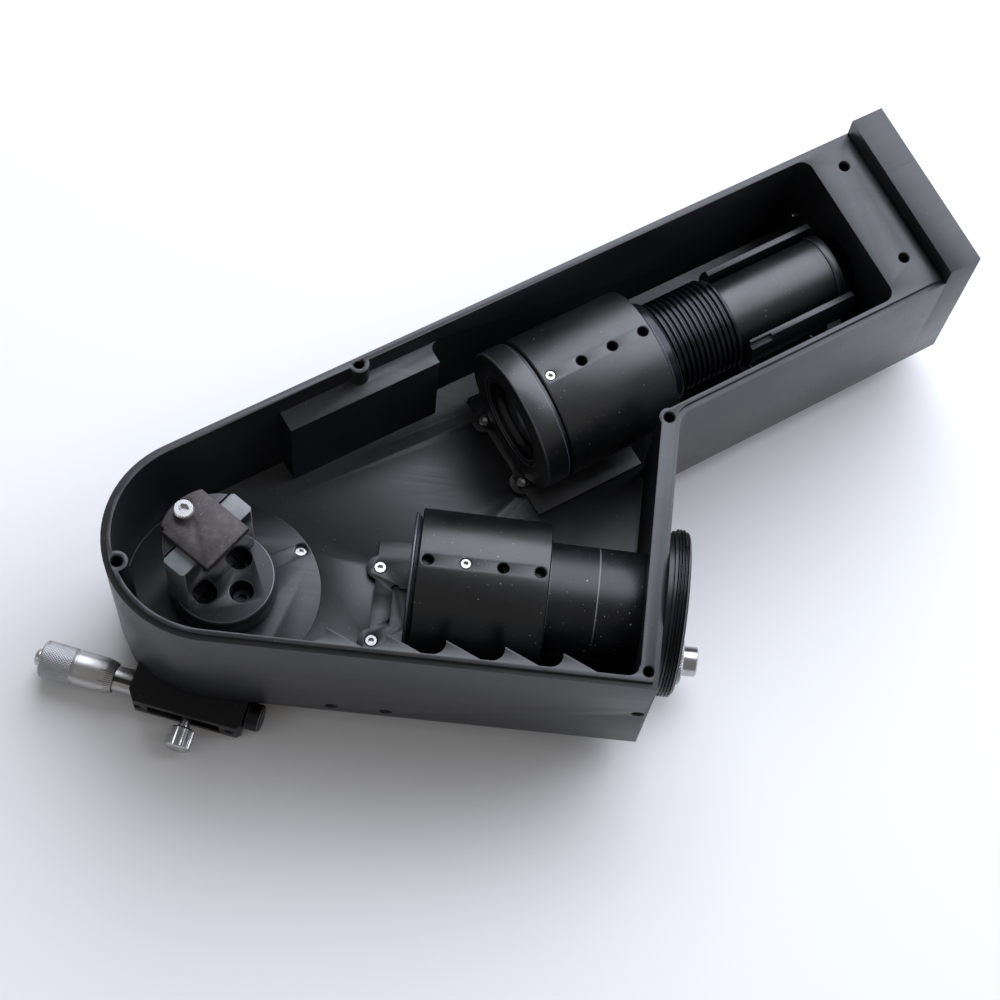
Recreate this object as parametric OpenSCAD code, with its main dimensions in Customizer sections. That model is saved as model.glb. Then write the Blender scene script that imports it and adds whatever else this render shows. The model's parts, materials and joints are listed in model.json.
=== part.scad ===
// Open grating spectroscope: a V-shaped milled tub with a collimator arm,
// a camera arm and a grating table driven by a tangent-arm rotary stage.
// Origin: rotation axis of the grating table, at the stage's bottom face. +Z up.
// +X runs along the camera arm, and arm_angle turns from it to the collimator arm.

/* [Housing] */
// Angle between the camera arm (+X) and the collimator arm, degrees
arm_angle = 35.5; // [35:0.5:37]
// Outer radius of the round end
round_r = 33; // [32.5:0.5:34]
// Distance from the grating axis to the camera arm's end wall
camera_wall_x = 135; // [134:0.5:137]
// Length of the collimator arm along its axis, to the end plate
arm_len = 249; // [247:1:256]
// Distance from the collimator axis to the outside of its inner-corner wall
arm_side = 30; // [30:0.5:31]
// Height of the housing, from its underside to the top of the rim tongue
housing_h = 62; // [60:1:64]
// Thickness of the housing floor
floor_t = 12; // [11:0.5:12]
// Thickness of the tub's thin walls
wall_t = 3; // [3:0.1:3.5]
// Thickness of the camera arm's end wall
end_wall_t = 6; // [5:0.5:7]
// Width of the solid block at the far end of the collimator arm
ledge_t = 19; // [17:1:20]
// Width of the step outside the rim tongue
step_w = 1.7; // [1.4:0.1:1.8]
// Depth of the step outside the rim tongue
step_h = 2; // [1:0.25:3]
// Thickness of the end plate
end_plate_t = 12; // [10:1:14]
// Height of the end plate above the rim, which is the cover's thickness
plate_rise = 6; // [4:1:8]

/* [Optics] */
// Height of both optical axes above the underside of the housing
axis_h = 38; // [38:0.25:39]
// Outer radius of the clamp sleeves
sleeve_r = 24; // [23:0.25:24]
// Length of a clamp sleeve
sleeve_len = 40; // [38:1:42]
// Bore radius of the clamp sleeves
sleeve_bore_r = 20.5; // [20:0.25:21]
// Width and height of the grating block
grating_w = 30; // [28:1:30]
// Thickness of the grating block
grating_t = 8; // [6:0.5:8]
// Direction of the grating's face line, degrees from +X
grating_dir = 55; // [50:1:60]
// Outer radius of the adapter's male thread
adapter_r = 27; // [26.5:0.1:27]

/* [Stage] */
// Height of the stage body under the housing
stage_h = 13; // [13:0.5:14]
// Radius of the plate let into the floor
stage_plate_r = 29.7; // [29:0.1:29.8]
// Radius of the grating table disc
disc_r = 16; // [15:0.5:16.5]
// Thickness of the grating table disc
disc_t = 12.2; // [11:0.1:13]
// Direction of the micrometer axis, degrees from +X
drive_dir = -10.5; // [-12:0.5:-9]
// Distance from the table's axis to the micrometer axis
drive_r = 33; // [32.5:0.25:33.5]

/* [Hidden] */
$fn = 96;
// Overshoot that keeps cuts from sharing a face with what they cut
eps = 0.01;
// Radial clearance of a running fit
run_gap = 0.05;
// Clearance between parts that must not touch
free_gap = 0.3;

base_z = stage_h;
floor_z = base_z + floor_t;
rim_z = base_z + housing_h;
step_z = rim_z - step_h;
axis_z = base_z + axis_h;
cavity_r = round_r - wall_t;
cavity_len = arm_len - ledge_t;
corner_r = 4;
inner_x = camera_wall_x - end_wall_t;
far = 400;

// Point on the collimator arm: u along the arm, v across it
function arm_pt(u, v) = [u * cos(arm_angle) - v * sin(arm_angle),
                         u * sin(arm_angle) + v * cos(arm_angle)];
// Where the end wall's plane x meets the line v = const of the collimator arm
function corner_pt(x, v) = [x, (v + x * sin(arm_angle)) / cos(arm_angle)];

// Cover screws, on the rim
cover_hole_r = 1.65;
cover_boss_r = 3.2;
cover_holes = [[-26.8, -11.9], arm_pt(63.5, 30.2), [camera_wall_x - 3.7, 57.3],
               [camera_wall_x - 3.4, -28], arm_pt(arm_len - 8.8, 22), arm_pt(arm_len - 8.8, -16)];

// Light-trap teeth on the camera arm's side wall
tooth_pitch = 17.6;
tooth_count = 5;
tooth_x0 = 35;
tooth_depth = 4.8;
tooth_r = 4;

// Sleeve stations along each arm
camera_sleeve_x = 59;
collimator_sleeve_u = 111;
radial_hole_r = 1.65;
radial_hole_pitch = (sleeve_len - 6) / 3;

// Camera tube and adapter
camera_tube_r = 18;
camera_bore_r = 15.5;
adapter_neck_r = 25.4;
// Female thread in the adapter, M42
adapter_bore_r = 20.6;
adapter_x = camera_wall_x + 7;

// Collimator tube
thread_r = 16;
tube_r = 12.4;
tube_bore_r = 7.5;
thread_u0 = 156;
thread_u1 = 181;
tube_end_u = 224;
cradle_in_r = 13.2;
cradle_out_r = 17;
cradle_u0 = 183.5;
cradle_u1 = 224.5;
rail_z = axis_z + 8;

// Saddles
saddle_t = 2;
ear_pitch = 25;
ear_r = 4.2;
ear_off = 1;
seat_gap = 0.02;

// Stage
plate_web = 3;
stage_body_r = 32.4;
stage_wall_r = 24.5;
stage_floor_t = 3;
rotor_r = 17;
rotor_neck_r = 13;
rotor_shaft_r = 10;
rotor_z0 = 1;
rotor_flange_z0 = 4.1;
rotor_flange_z1 = 11;
disc_z = floor_z + 0.4;
disc_top_z = disc_z + disc_t;
stage_screw_r = 27;
stage_screw_dir = 37;
bush_r = 12.5;
bush_z0 = 0.8;
// Tapped holes in the stage's bottom face, for M4 screws
base_hole_pcr = 28.5;
base_hole_r = 1.65;
base_hole_depth = 6;
base_hole_dir = 15;
arm_ring_r = 23.5;
arm_z0 = 4.5;
arm_z1 = 9.5;
drive_z = 7;
bracket_s0 = -19;
bracket_s1 = 17;
bracket_d = 40;
bracket_z0 = 2;
window_s0 = -12.5;
window_s1 = 10.5;
window_z0 = 4;
window_z1 = 10;
lug_w = 6;
lug_d = 37;
spindle_r = 2;
pin_r = 2.5;

// Grating table
table_hole_pcr = 7.7;
table_hole_r = 3.7;
clamp_screw_back = 12.9;

// Placement: u along the collimator arm, v across it, w up
module on_arm() { rotate([0, 0, arm_angle]) children(); }
// Placement: s along the micrometer axis, d outward from the table axis
module on_drive() { rotate([0, 0, drive_dir]) mirror([0, 1, 0]) children(); }
// Placement: e along the grating's face line, n to the front of it
module on_grating() { rotate([0, 0, grating_dir]) mirror([0, 1, 0]) children(); }

// Cylinder along +X from x0 to x1
module rod(x0, x1, r) { translate([x0, 0, 0]) rotate([0, 90, 0]) cylinder(r = r, h = x1 - x0); }
// Ring along +X
module ring(x0, x1, r_out, r_in) {
    difference() {
        rod(x0, x1, r_out);
        rod(x0 - 1, x1 + 1, r_in);
    }
}
// Cylinder between two heights
module post(z0, z1, r) { translate([0, 0, z0]) cylinder(r = r, h = z1 - z0); }
// Block between two corners
module block(a, b) { translate(a) cube([b[0] - a[0], b[1] - a[1], b[2] - a[2]]); }
// Cylinder along +X with chamfered ends
module soft_rod(x0, x1, r, c) {
    translate([x0, 0, 0]) rotate([0, 90, 0]) rotate_extrude()
        polygon([[0, 0], [r - c, 0], [r, c], [r, x1 - x0 - c], [r - c, x1 - x0], [0, x1 - x0]]);
}
// Socket-head screw, head up, seated at z
module cap_screw(z, length, thread, head_r, head_h, socket) {
    difference() {
        union() {
            post(z - length, z + eps, thread);
            translate([0, 0, z]) rotate_extrude()
                polygon([[0, 0], [head_r, 0], [head_r, head_h - 0.35], [head_r - 0.35, head_h], [0, head_h]]);
        }
        translate([0, 0, z + head_h * 0.45]) cylinder(r = socket, h = head_h, $fn = 6);
    }
}
// Set screw along +Z with its socket on top
module set_screw(z0, z1, r, socket) {
    difference() {
        post(z0, z1, r);
        translate([0, 0, z1 - 1.6]) cylinder(r = socket, h = 3, $fn = 6);
    }
}

// Sector of a circle between two directions less than 180 degrees apart
module pie(r, a0, a1) {
    intersection() {
        circle(r = r);
        polygon([[0, 0], 2 * r * [cos(a0), sin(a0)], 5 * r * [cos((a0 + a1) / 2), sin((a0 + a1) / 2)],
                 2 * r * [cos(a1), sin(a1)]]);
    }
}
// Tub outline, moved inwards by inset
module tub_plan(inset) {
    rotate(arm_angle) {
        pie(round_r - inset, 90, 265);
        translate([0, -arm_side + inset]) square([arm_len - inset, arm_side + round_r - 2 * inset]);
    }
    polygon([[0, -round_r + inset], [camera_wall_x - inset, -round_r + inset],
             corner_pt(camera_wall_x - inset, -arm_side + inset), [0, 0]]);
    notch_fillet(camera_wall_x - inset, -arm_side + inset, 7 + inset);
}
// Fills the inner corner between the two arms with a radius r
module notch_fillet(x, v, r) {
    centre = corner_pt(x + r, v - r);
    difference() {
        polygon([corner_pt(x - 1, v + 1), [x - 1, centre[1]], [x, centre[1]], centre,
                 centre + r * [-sin(arm_angle), cos(arm_angle)],
                 centre + (r + 1) * [-sin(arm_angle), cos(arm_angle)]]);
        translate(centre) circle(r = r);
    }
}
// Rectangle with its far two corners rounded
module soft_square(x0, y0, x1, y1, r) {
    translate([x0, y0]) square([x1 - x0 - r, y1 - y0]);
    translate([x0, y0 + r]) square([x1 - x0, y1 - y0 - 2 * r]);
    for (y = [y0 + r, y1 - r]) translate([x1 - r, y]) circle(r = r);
}
module cavity_plan() {
    rotate(arm_angle) {
        pie(cavity_r, 90, 265);
        soft_square(0, -arm_side + wall_t, cavity_len, round_r - wall_t, corner_r);
    }
    intersection() {
        soft_square(0, -cavity_r, inner_x, far, corner_r);
        polygon([[0, -far], [far, -far], corner_pt(far, -arm_side + wall_t + 1), [0, 0]]);
    }
}
module teeth_plan() {
    y0 = -cavity_r;
    for (i = [0 : tooth_count - 1]) translate([tooth_x0 + i * tooth_pitch, y0]) difference() {
        polygon([[-tooth_r, -0.2], [11, -0.2], [0, tooth_depth], [0, tooth_r], [-tooth_r, tooth_r]]);
        translate([-tooth_r, tooth_r]) pie(tooth_r, 270, 360);
    }
}
// Thick lower part of the wall beside the collimator cell
shelf_u0 = 36.5;
shelf_u1 = 88;
shelf_w = 7;
shelf_r = 3;
shelf_z = rim_z - 9.5;
module shelf() {
    on_arm() translate([0, 0, floor_z - 1]) linear_extrude(shelf_z - floor_z + 1) {
        difference() {
            translate([shelf_u0, cavity_r - shelf_w]) square([shelf_u1 + shelf_r - shelf_u0, shelf_w + 1]);
            translate([shelf_u1 + shelf_r, cavity_r - shelf_r]) circle(r = shelf_r);
            translate([shelf_u1, cavity_r - shelf_w - 1]) square([shelf_r + 1, shelf_w + 1 - shelf_r]);
        }
    }
}
side_hole_r = 2.1;
side_holes = [[37, base_z + 5.2], [54, base_z + 5.2], [camera_wall_x - 3, base_z + 32]];
knob_y = -4.3;
knob_z = base_z + 3.5;
knob_shaft_r = 1.9;
slit_bore_r = 14;
housing_port_r = 9;

module housing() {
    color([0.13, 0.13, 0.15]) difference() {
        union() {
            translate([0, 0, base_z]) linear_extrude(step_z - base_z) tub_plan(0);
            translate([0, 0, step_z - eps]) linear_extrude(step_h + eps) tub_plan(step_w);
        }
        difference() {
            translate([0, 0, floor_z]) linear_extrude(far) cavity_plan();
            translate([0, 0, floor_z - 1]) linear_extrude(rim_z - floor_z + 1) teeth_plan();
            shelf();
            for (p = cover_holes) translate(p) post(floor_z - 1, rim_z, cover_boss_r);
        }
        for (p = cover_holes) translate(p) {
            post(rim_z - 14, rim_z + 1, cover_hole_r);
            translate([0, 0, rim_z - 0.4]) cylinder(r1 = cover_hole_r, r2 = cover_hole_r + 0.41, h = 0.41);
        }
        post(base_z + plate_web, floor_z + 1, stage_plate_r + run_gap);
        post(base_z - 1, floor_z, stage_wall_r - 2);
        for (a = [0 : 90 : 270]) rotate(stage_screw_dir + a) translate([stage_screw_r, 0, 0])
            post(base_z - 1, base_z + plate_web + 1, 1.6);
        for (p = side_holes) translate([p[0], -round_r - 1, p[1]]) rotate([-90, 0, 0])
            cylinder(r = side_hole_r, h = p[1] > floor_z ? 4 : 11);
        translate([0, 0, axis_z]) rod(inner_x - 1, camera_wall_x + 1, camera_tube_r + run_gap);
        on_arm() translate([0, 0, axis_z]) {
            rod(cavity_len - 1, arm_len + 1, housing_port_r);
            rod(cavity_len + 8, arm_len + 1, slit_bore_r);
        }
        translate([0, knob_y, knob_z]) rod(camera_wall_x - 16, camera_wall_x + 1, knob_shaft_r + run_gap);
        on_arm() for (p = end_screw_spots) translate([0, p[0], p[1]]) rod(arm_len - 5.5, arm_len + 1, 2.1);
        on_arm() translate([0, 27, base_z + 26.3]) rod(cavity_len - 1, cavity_len + 6, 1.5);
        for (v = [-1, 1], u = [cradle_u0 + 8, cradle_u1 - 8]) translate(concat(arm_pt(u, v * cradle_foot_w), 0))
            post(base_z + 3, floor_z + 1, 1.5);
        for (v = [-1, 1]) {
            translate([camera_saddle_x + ear_off, v * ear_pitch / 2, 0]) post(base_z + 3, floor_z + 1, 2);
            translate(arm_pt(collimator_saddle_u + ear_off, v * ear_pitch / 2)) post(base_z + 3, floor_z + 1, 2);
        }
    }
}
end_screw_spots = [for (v = [-22, 25], z = [base_z + 9, rim_z - 9]) [v, z]];
end_screw_len = 12.8;
entrance_thread_r = 20.6;
module end_plate() {
    color([0.13, 0.13, 0.15]) on_arm() difference() {
        block([arm_len, -arm_side, base_z], [arm_len + end_plate_t, round_r, rim_z + plate_rise]);
        translate([0, 0, axis_z]) {
            rod(arm_len + 2, arm_len + end_plate_t + 1, entrance_thread_r);
            rod(arm_len - 1, arm_len + 3, slit_bore_r);
        }
        for (p = end_screw_spots) translate([0, p[0], p[1]]) {
            rod(arm_len - 1, arm_len + end_plate_t + 1, 2.2);
            rod(arm_len + end_plate_t - 4.2, arm_len + end_plate_t + 1, 3.8);
        }
    }
}
module end_plate_screws() {
    color([0.12, 0.12, 0.13]) on_arm() for (p = end_screw_spots)
        translate([arm_len + end_plate_t - 4.2, p[0], p[1]]) rotate([0, 90, 0])
            cap_screw(0, end_screw_len, 2.05, 3.5, 4, 1.6);
}

// Round plate let into the floor, carrying the rotary stage
plate_screw_seat = floor_z - 4.2;
plate_screw_head_r = 1.95;
module stage_plate() {
    color([0.16, 0.16, 0.18]) difference() {
        post(base_z + plate_web, floor_z, stage_plate_r);
        post(base_z, floor_z + 1, rotor_neck_r + 0.5);
        for (a = [0 : 90 : 270]) rotate(stage_screw_dir + a) translate([stage_screw_r, 0, 0]) {
            post(base_z, floor_z + 1, 1.6);
            post(plate_screw_seat, floor_z + 1, plate_screw_head_r + run_gap);
        }
    }
}
module stage_plate_screws() {
    color([0.75, 0.75, 0.76]) for (a = [0 : 90 : 270])
        rotate(stage_screw_dir + a) translate([stage_screw_r, 0, 0])
            cap_screw(plate_screw_seat, 15, 1.45, plate_screw_head_r, 2, 1);
}
module window_cut(s0, s1) { block([s0, 18, window_z0], [s1, bracket_d + 2, window_z1]); }
module stage_body() {
    color([0.1, 0.1, 0.11]) difference() {
        union() {
            post(0, base_z, stage_body_r);
            on_drive() translate([0, 0, bracket_z0]) linear_extrude(base_z - bracket_z0 - 0.2)
                polygon([[bracket_s0, 22], [bracket_s0, bracket_d - 3.5], [bracket_s0 + 2.2, bracket_d],
                         [bracket_s1 - 1.2, bracket_d], [bracket_s1, bracket_d - 1.2], [bracket_s1, 22]]);
        }
        post(stage_floor_t, base_z + 1, stage_wall_r);
        post(bush_z0, base_z, bush_r);
        for (a = [0 : 90 : 270]) rotate(stage_screw_dir + a) translate([stage_screw_r, 0, 0])
            post(4, base_z + 1, 1.5);
        for (a = [0 : 90 : 270]) rotate(base_hole_dir + a) translate([base_hole_pcr, 0, 0])
            post(-1, base_hole_depth, base_hole_r);
        on_drive() {
            window_cut(window_s0, window_s1);
            translate([0, drive_r, drive_z]) rod(bracket_s0 - 1, window_s0 + 1, barrel_r);
            translate([0, drive_r, drive_z]) rod(window_s1 - 1, bracket_s1 + 1, 3.5);
            for (s = bracket_grub_s) translate([s, 0, drive_z]) rotate([-90, 0, 0])
                translate([0, 0, drive_r]) cylinder(r = 1.5, h = 10);
        }
    }
}
bracket_grub_s = [-15.8, 13.6];
module bracket_grub_screws() {
    color([0.2, 0.2, 0.21]) on_drive() for (s = bracket_grub_s)
        translate([s, 0, drive_z]) rotate([-90, 0, 0])
            set_screw(drive_r + (s < 0 ? barrel_r : 3.5), bracket_d - 0.4, 1.5, 0.8);
}
module stage_bush() {
    color([0.62, 0.47, 0.25]) difference() {
        post(bush_z0, stage_floor_t, bush_r);
        post(0, stage_floor_t + 1, rotor_shaft_r + run_gap);
    }
}
module thrust_washer() {
    color([0.85, 0.84, 0.8]) difference() {
        post(stage_floor_t, stage_floor_t + 1, rotor_r - 1);
        post(0, stage_floor_t + 2, rotor_shaft_r + 1);
    }
}
module stage_rotor() {
    color([0.6, 0.6, 0.62]) difference() {
        union() {
            post(rotor_z0, rotor_flange_z0 + 1, rotor_shaft_r);
            post(rotor_flange_z0, rotor_flange_z1, rotor_r);
            post(rotor_flange_z1 - 1, disc_z, rotor_neck_r);
        }
        table_bolt_cuts(disc_z - 9, 1.65);
        post(rotor_z0 - 1, disc_z - 10, 4);
    }
}
module tangent_arm() {
    color([0.35, 0.35, 0.37]) difference() {
        union() {
            post(arm_z0, arm_z1, arm_ring_r);
            on_drive() block([-lug_w / 2, rotor_r + 2, arm_z0], [lug_w / 2, lug_d, arm_z1]);
        }
        post(0, base_z, rotor_r + run_gap);
        on_drive() translate([0, 0, drive_z]) rotate([-90, 0, 0]) translate([0, 0, rotor_r - 1])
            cylinder(r = thumb_r + run_gap, h = 30);
    }
}
thumb_r = 1.6;
thumb_head_d = 43;
thumb_head_r = 4.2;
thumb_head_h = 7;
module lock_thumbscrew() {
    color([0.72, 0.7, 0.66]) on_drive() translate([0, 0, drive_z]) rotate([-90, 0, 0]) {
        post(rotor_r + free_gap, thumb_head_d + 0.5, thumb_r);
        translate([0, 0, thumb_head_d]) rotate_extrude()
            polygon([[0, 0], [thumb_head_r - 0.6, 0], [thumb_head_r, 0.6], [thumb_head_r, thumb_head_h - 0.6],
                     [thumb_head_r - 0.6, thumb_head_h], [0, thumb_head_h]]);
    }
}
// Everything on the micrometer axis is turned about the s line at drive_r, drive_z
module on_spindle() { on_drive() translate([0, drive_r, drive_z]) children(); }
sleeve_s0 = -31.5;
barrel_r = 4.25;
thimble_s0 = -48;
thimble_s1 = -25;
thimble_r = 6;
module micrometer_sleeve() {
    color([0.8, 0.8, 0.8]) on_spindle() ring(sleeve_s0, window_s0, barrel_r - seat_gap, spindle_r + run_gap);
}
module micrometer_spindle() {
    color([0.7, 0.7, 0.72]) on_spindle() {
        rod(thimble_s0 + 1, -lug_w / 2 - free_gap - spindle_r, spindle_r);
        translate([-lug_w / 2 - free_gap - spindle_r, 0, 0]) sphere(r = spindle_r);
    }
}
module micrometer_thimble() {
    color([0.78, 0.78, 0.78]) on_spindle() difference() {
        translate([thimble_s0, 0, 0]) rotate([0, 90, 0]) rotate_extrude()
            polygon([[0, 0], [thimble_r - 0.7, 0], [thimble_r, 0.7], [thimble_r, 10.2], [thimble_r - 0.4, 10.6],
                     [thimble_r - 0.4, 11.4], [thimble_r, 11.8], [thimble_r, 20], [5, 23], [0, 23]]);
        rod(thimble_s0 + 1, thimble_s1 + 1, spindle_r + run_gap);
        rod(thimble_s0 + 10.5, thimble_s1 + 1, barrel_r + free_gap);
    }
}
module micrometer_end_stop() {
    color([0.75, 0.75, 0.75]) on_spindle() soft_rod(thimble_s0 - 2, thimble_s0, 2.8, 0.5);
}
plunger_s1 = 22.3;
module plunger_body() {
    color([0.08, 0.08, 0.09]) on_spindle() difference() {
        union() {
            rod(window_s1, bracket_s1 + 1, 3.45);
            soft_rod(bracket_s1 + 0.05, plunger_s1, 4.5, 0.6);
        }
        rod(window_s1 - 1, plunger_s1 - 1.3, pin_r + run_gap);
    }
}
module plunger_pin() {
    color([0.7, 0.7, 0.72]) on_spindle() difference() {
        union() {
            rod(lug_w / 2 + free_gap + pin_r, 15, pin_r);
            translate([lug_w / 2 + free_gap + pin_r, 0, 0]) sphere(r = pin_r);
        }
        rod(6, 16, 1.8);
    }
}
module plunger_spring() {
    color([0.6, 0.6, 0.6]) on_spindle() ring(10.5, plunger_s1 - 1.3, 1.45, 1);
}

// Grating table
module table_bolt_cuts(z, r) {
    on_grating() for (a = [0 : 90 : 270]) rotate(a) translate([table_hole_pcr, 0, z]) cylinder(r = r, h = 60);
}
module table_disc() {
    color([0.14, 0.14, 0.16]) difference() {
        translate([0, 0, disc_z]) rotate_extrude()
            polygon([[0, 0], [disc_r, 0], [disc_r, disc_t - 0.5], [disc_r - 0.5, disc_t], [0, disc_t]]);
        table_bolt_cuts(disc_z - 1, 1.7);
        table_bolt_cuts(disc_z + 2.5, table_hole_r);
    }
}
module table_screws() {
    color([0.1, 0.1, 0.11]) on_grating() for (a = [0 : 90 : 270])
        rotate(a) translate([table_hole_pcr, 0, 0]) cap_screw(disc_z + 2.5, 9, 1.6, 3.2, 3.2, 1.5);
}
grating_z0 = disc_top_z + 0.02;
grating_z1 = grating_z0 + grating_w;
holder_gap = 0.6;
module grating_holder() {
    color([0.1, 0.1, 0.12]) on_grating() difference() {
        intersection() {
            post(disc_top_z, grating_z1, disc_r);
            block([-disc_r, -disc_r, disc_top_z], [disc_r, -grating_t - holder_gap, grating_z1]);
        }
        translate([0, -clamp_screw_back, 0]) post(grating_z1 - 12, grating_z1 + 1, 1.6);
    }
}
module grating() {
    bevel = 0.8;
    color([0.78, 0.8, 0.8]) on_grating() translate([-grating_w / 2, -grating_t, grating_z0])
        linear_extrude(grating_w)
            polygon([[bevel, 0], [grating_w - bevel, 0], [grating_w, bevel], [grating_w, grating_t - bevel],
                     [grating_w - bevel, grating_t], [bevel, grating_t], [0, grating_t - bevel], [0, bevel]]);
}
clamp_t = 3;
clamp_w = 18;
clamp_over = 4.3;
module clamp_plate() {
    color([0.42, 0.4, 0.37]) on_grating() difference() {
        intersection() {
            translate([0, 0, grating_z1]) cylinder(r = disc_r + 1, h = clamp_t);
            block([-clamp_w / 2, -disc_r - 2, grating_z1], [clamp_w / 2, clamp_over, grating_z1 + clamp_t]);
        }
        translate([0, -clamp_screw_back, 0]) post(grating_z1 - 1, grating_z1 + clamp_t + 1, 2.2);
        block([-clamp_w / 2 - 1, -disc_r + 0.5, grating_z1 - 1],
              [-clamp_w / 2 + 1.2, -disc_r + 2.5, grating_z1 + clamp_t + 1]);
    }
}
module clamp_screw() {
    color([0.8, 0.79, 0.75]) on_grating() translate([0, -clamp_screw_back, 0])
        cap_screw(grating_z1 + clamp_t, 12, 1.55, 3.15, 3.4, 1.6);
}

// Saddle: plate with two ears and a cradle block that the sleeve lies on
camera_saddle_x = 46;
collimator_saddle_u = 99.5;
saddle_w = 25;
module saddle(front, width_neg, width_pos) {
    difference() {
        union() {
            block([0, -width_neg, floor_z], [front + sleeve_len - 12, width_pos, floor_z + saddle_t]);
            for (v = [-1, 1]) translate([ear_off, v * ear_pitch / 2, 0]) post(floor_z, floor_z + saddle_t, ear_r);
            block([front + 4, -17, floor_z], [front + sleeve_len - 8, 17, axis_z - 14]);
        }
        translate([0, 0, axis_z]) {
            rod(-10, front + sleeve_len + 10, sleeve_r + seat_gap);
            rod(-10, front - 0.2, sleeve_r + free_gap + 0.1);
        }
        for (v = [-1, 1]) translate([ear_off, v * ear_pitch / 2, 0]) post(floor_z - 1, floor_z + 4, 2.1);
        saddle_pocket();
    }
}
// Rectangular pocket with relieved corners
module saddle_pocket() {
    block([5.8, -6.2, floor_z + 0.5], [12.6, 6.2, floor_z + 5]);
    for (x = [6.6, 11.8], y = [-5.8, 5.8]) translate([x, y, 0]) post(floor_z + 0.5, floor_z + 5, 1.4);
}
module camera_saddle() {
    color([0.2, 0.2, 0.22]) translate([camera_saddle_x, 0, 0])
        saddle(camera_sleeve_x - camera_saddle_x, 22, 22);
}
module collimator_saddle() {
    color([0.2, 0.2, 0.22]) on_arm() translate([collimator_saddle_u, 0, 0])
        saddle(collimator_sleeve_u - collimator_saddle_u, 25, 22);
}
module saddle_screws() {
    for (v = [-1, 1]) translate([ear_off, v * ear_pitch / 2, 0])
        set_screw(floor_z - 9, floor_z + saddle_t + 0.25, 1.95, 1);
}
module camera_saddle_screws() { color([0.8, 0.8, 0.8]) translate([camera_saddle_x, 0, 0]) saddle_screws(); }
module collimator_saddle_screws() {
    color([0.8, 0.8, 0.8]) on_arm() translate([collimator_saddle_u, 0, 0]) saddle_screws();
}
// Clamp sleeve with four radial holes along the top
module sleeve() {
    difference() {
        translate([0, 0, axis_z]) difference() {
            soft_rod(0, sleeve_len, sleeve_r, 0.4);
            rod(-1, sleeve_len + 1, sleeve_bore_r);
        }
        for (i = [0 : 3]) translate([3 + i * radial_hole_pitch, 0, 0]) {
            post(axis_z, axis_z + sleeve_r + 1, radial_hole_r);
            translate([0, 0, axis_z + sleeve_r - 0.35])
                cylinder(r1 = radial_hole_r, r2 = radial_hole_r + 0.5, h = 0.5);
        }
    }
}
module sleeve_grub() {
    set_screw(axis_z + sleeve_bore_r + 0.02, axis_z + sleeve_r - 0.1, radial_hole_r, 0.9);
}
module camera_sleeve() { color([0.3, 0.3, 0.33]) translate([camera_sleeve_x, 0, 0]) sleeve(); }
module camera_sleeve_grub() {
    color([0.85, 0.85, 0.85]) translate([camera_sleeve_x + 3 + radial_hole_pitch, 0, 0]) sleeve_grub();
}
module collimator_sleeve() { color([0.3, 0.3, 0.33]) on_arm() translate([collimator_sleeve_u, 0, 0]) sleeve(); }
module collimator_sleeve_grub() {
    color([0.85, 0.85, 0.85]) on_arm() translate([collimator_sleeve_u + 3, 0, 0]) sleeve_grub();
}

// Lens cells: a front flange, a spigot in the sleeve, a lens on a seat and a retaining ring.
// x = 0 is the sleeve's front face
spigot_r = sleeve_bore_r - run_gap;
lens_r = 16;
seat_r = 14.5;
module lens_cell(front, neck_len, flange_r, spigot_len, seat_x) {
    difference() {
        union() {
            soft_rod(front, -neck_len, flange_r, 0.4);
            rod(-neck_len - 0.5, spigot_len, spigot_r);
            rod(-neck_len - 0.5, -0.3, flange_r - 1.2);
        }
        rod(front - 1, spigot_len + 1, seat_r);
        rod(front - 1, seat_x, lens_r);
    }
}
// Plano-convex lens with its curved face to the front
module lens(x0, x1) {
    sag = 2;
    bow_r = (lens_r * lens_r + sag * sag) / (2 * sag);
    intersection() {
        rod(x0, x1, lens_r - run_gap);
        translate([x0 + bow_r, 0, 0]) sphere(r = bow_r, $fn = 240);
    }
}
camera_cell_front = -2.2;
camera_seat_x = 4;
camera_lens_x = -1;
module camera_cell() {
    color([0.12, 0.12, 0.13]) translate([camera_sleeve_x, 0, axis_z])
        lens_cell(camera_cell_front, 1, 22.6, 12, camera_seat_x);
}
module camera_lens() {
    color([0.75, 0.82, 0.9, 0.5]) translate([camera_sleeve_x, 0, axis_z]) lens(camera_lens_x, camera_seat_x);
}
module camera_retainer() {
    color([0.1, 0.1, 0.11]) translate([camera_sleeve_x, 0, axis_z])
        ring(camera_cell_front + 0.2, camera_lens_x, lens_r, seat_r - 0.5);
}
collimator_cell_front = -9.6;
collimator_seat_x = -0.4;
collimator_lens_x = -7.4;
module collimator_cell() {
    color([0.3, 0.3, 0.33]) on_arm() translate([collimator_sleeve_u, 0, axis_z])
        lens_cell(collimator_cell_front, 1.4, sleeve_r, 10, collimator_seat_x);
}
module collimator_lens() {
    color([0.75, 0.82, 0.9, 0.5]) on_arm() translate([collimator_sleeve_u, 0, axis_z])
        lens(collimator_lens_x, collimator_seat_x);
}
module collimator_retainer() {
    color([0.1, 0.1, 0.11]) on_arm() translate([collimator_sleeve_u, 0, axis_z])
        ring(collimator_cell_front + 0.2, collimator_lens_x, lens_r, seat_r - 0.5);
}
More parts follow.
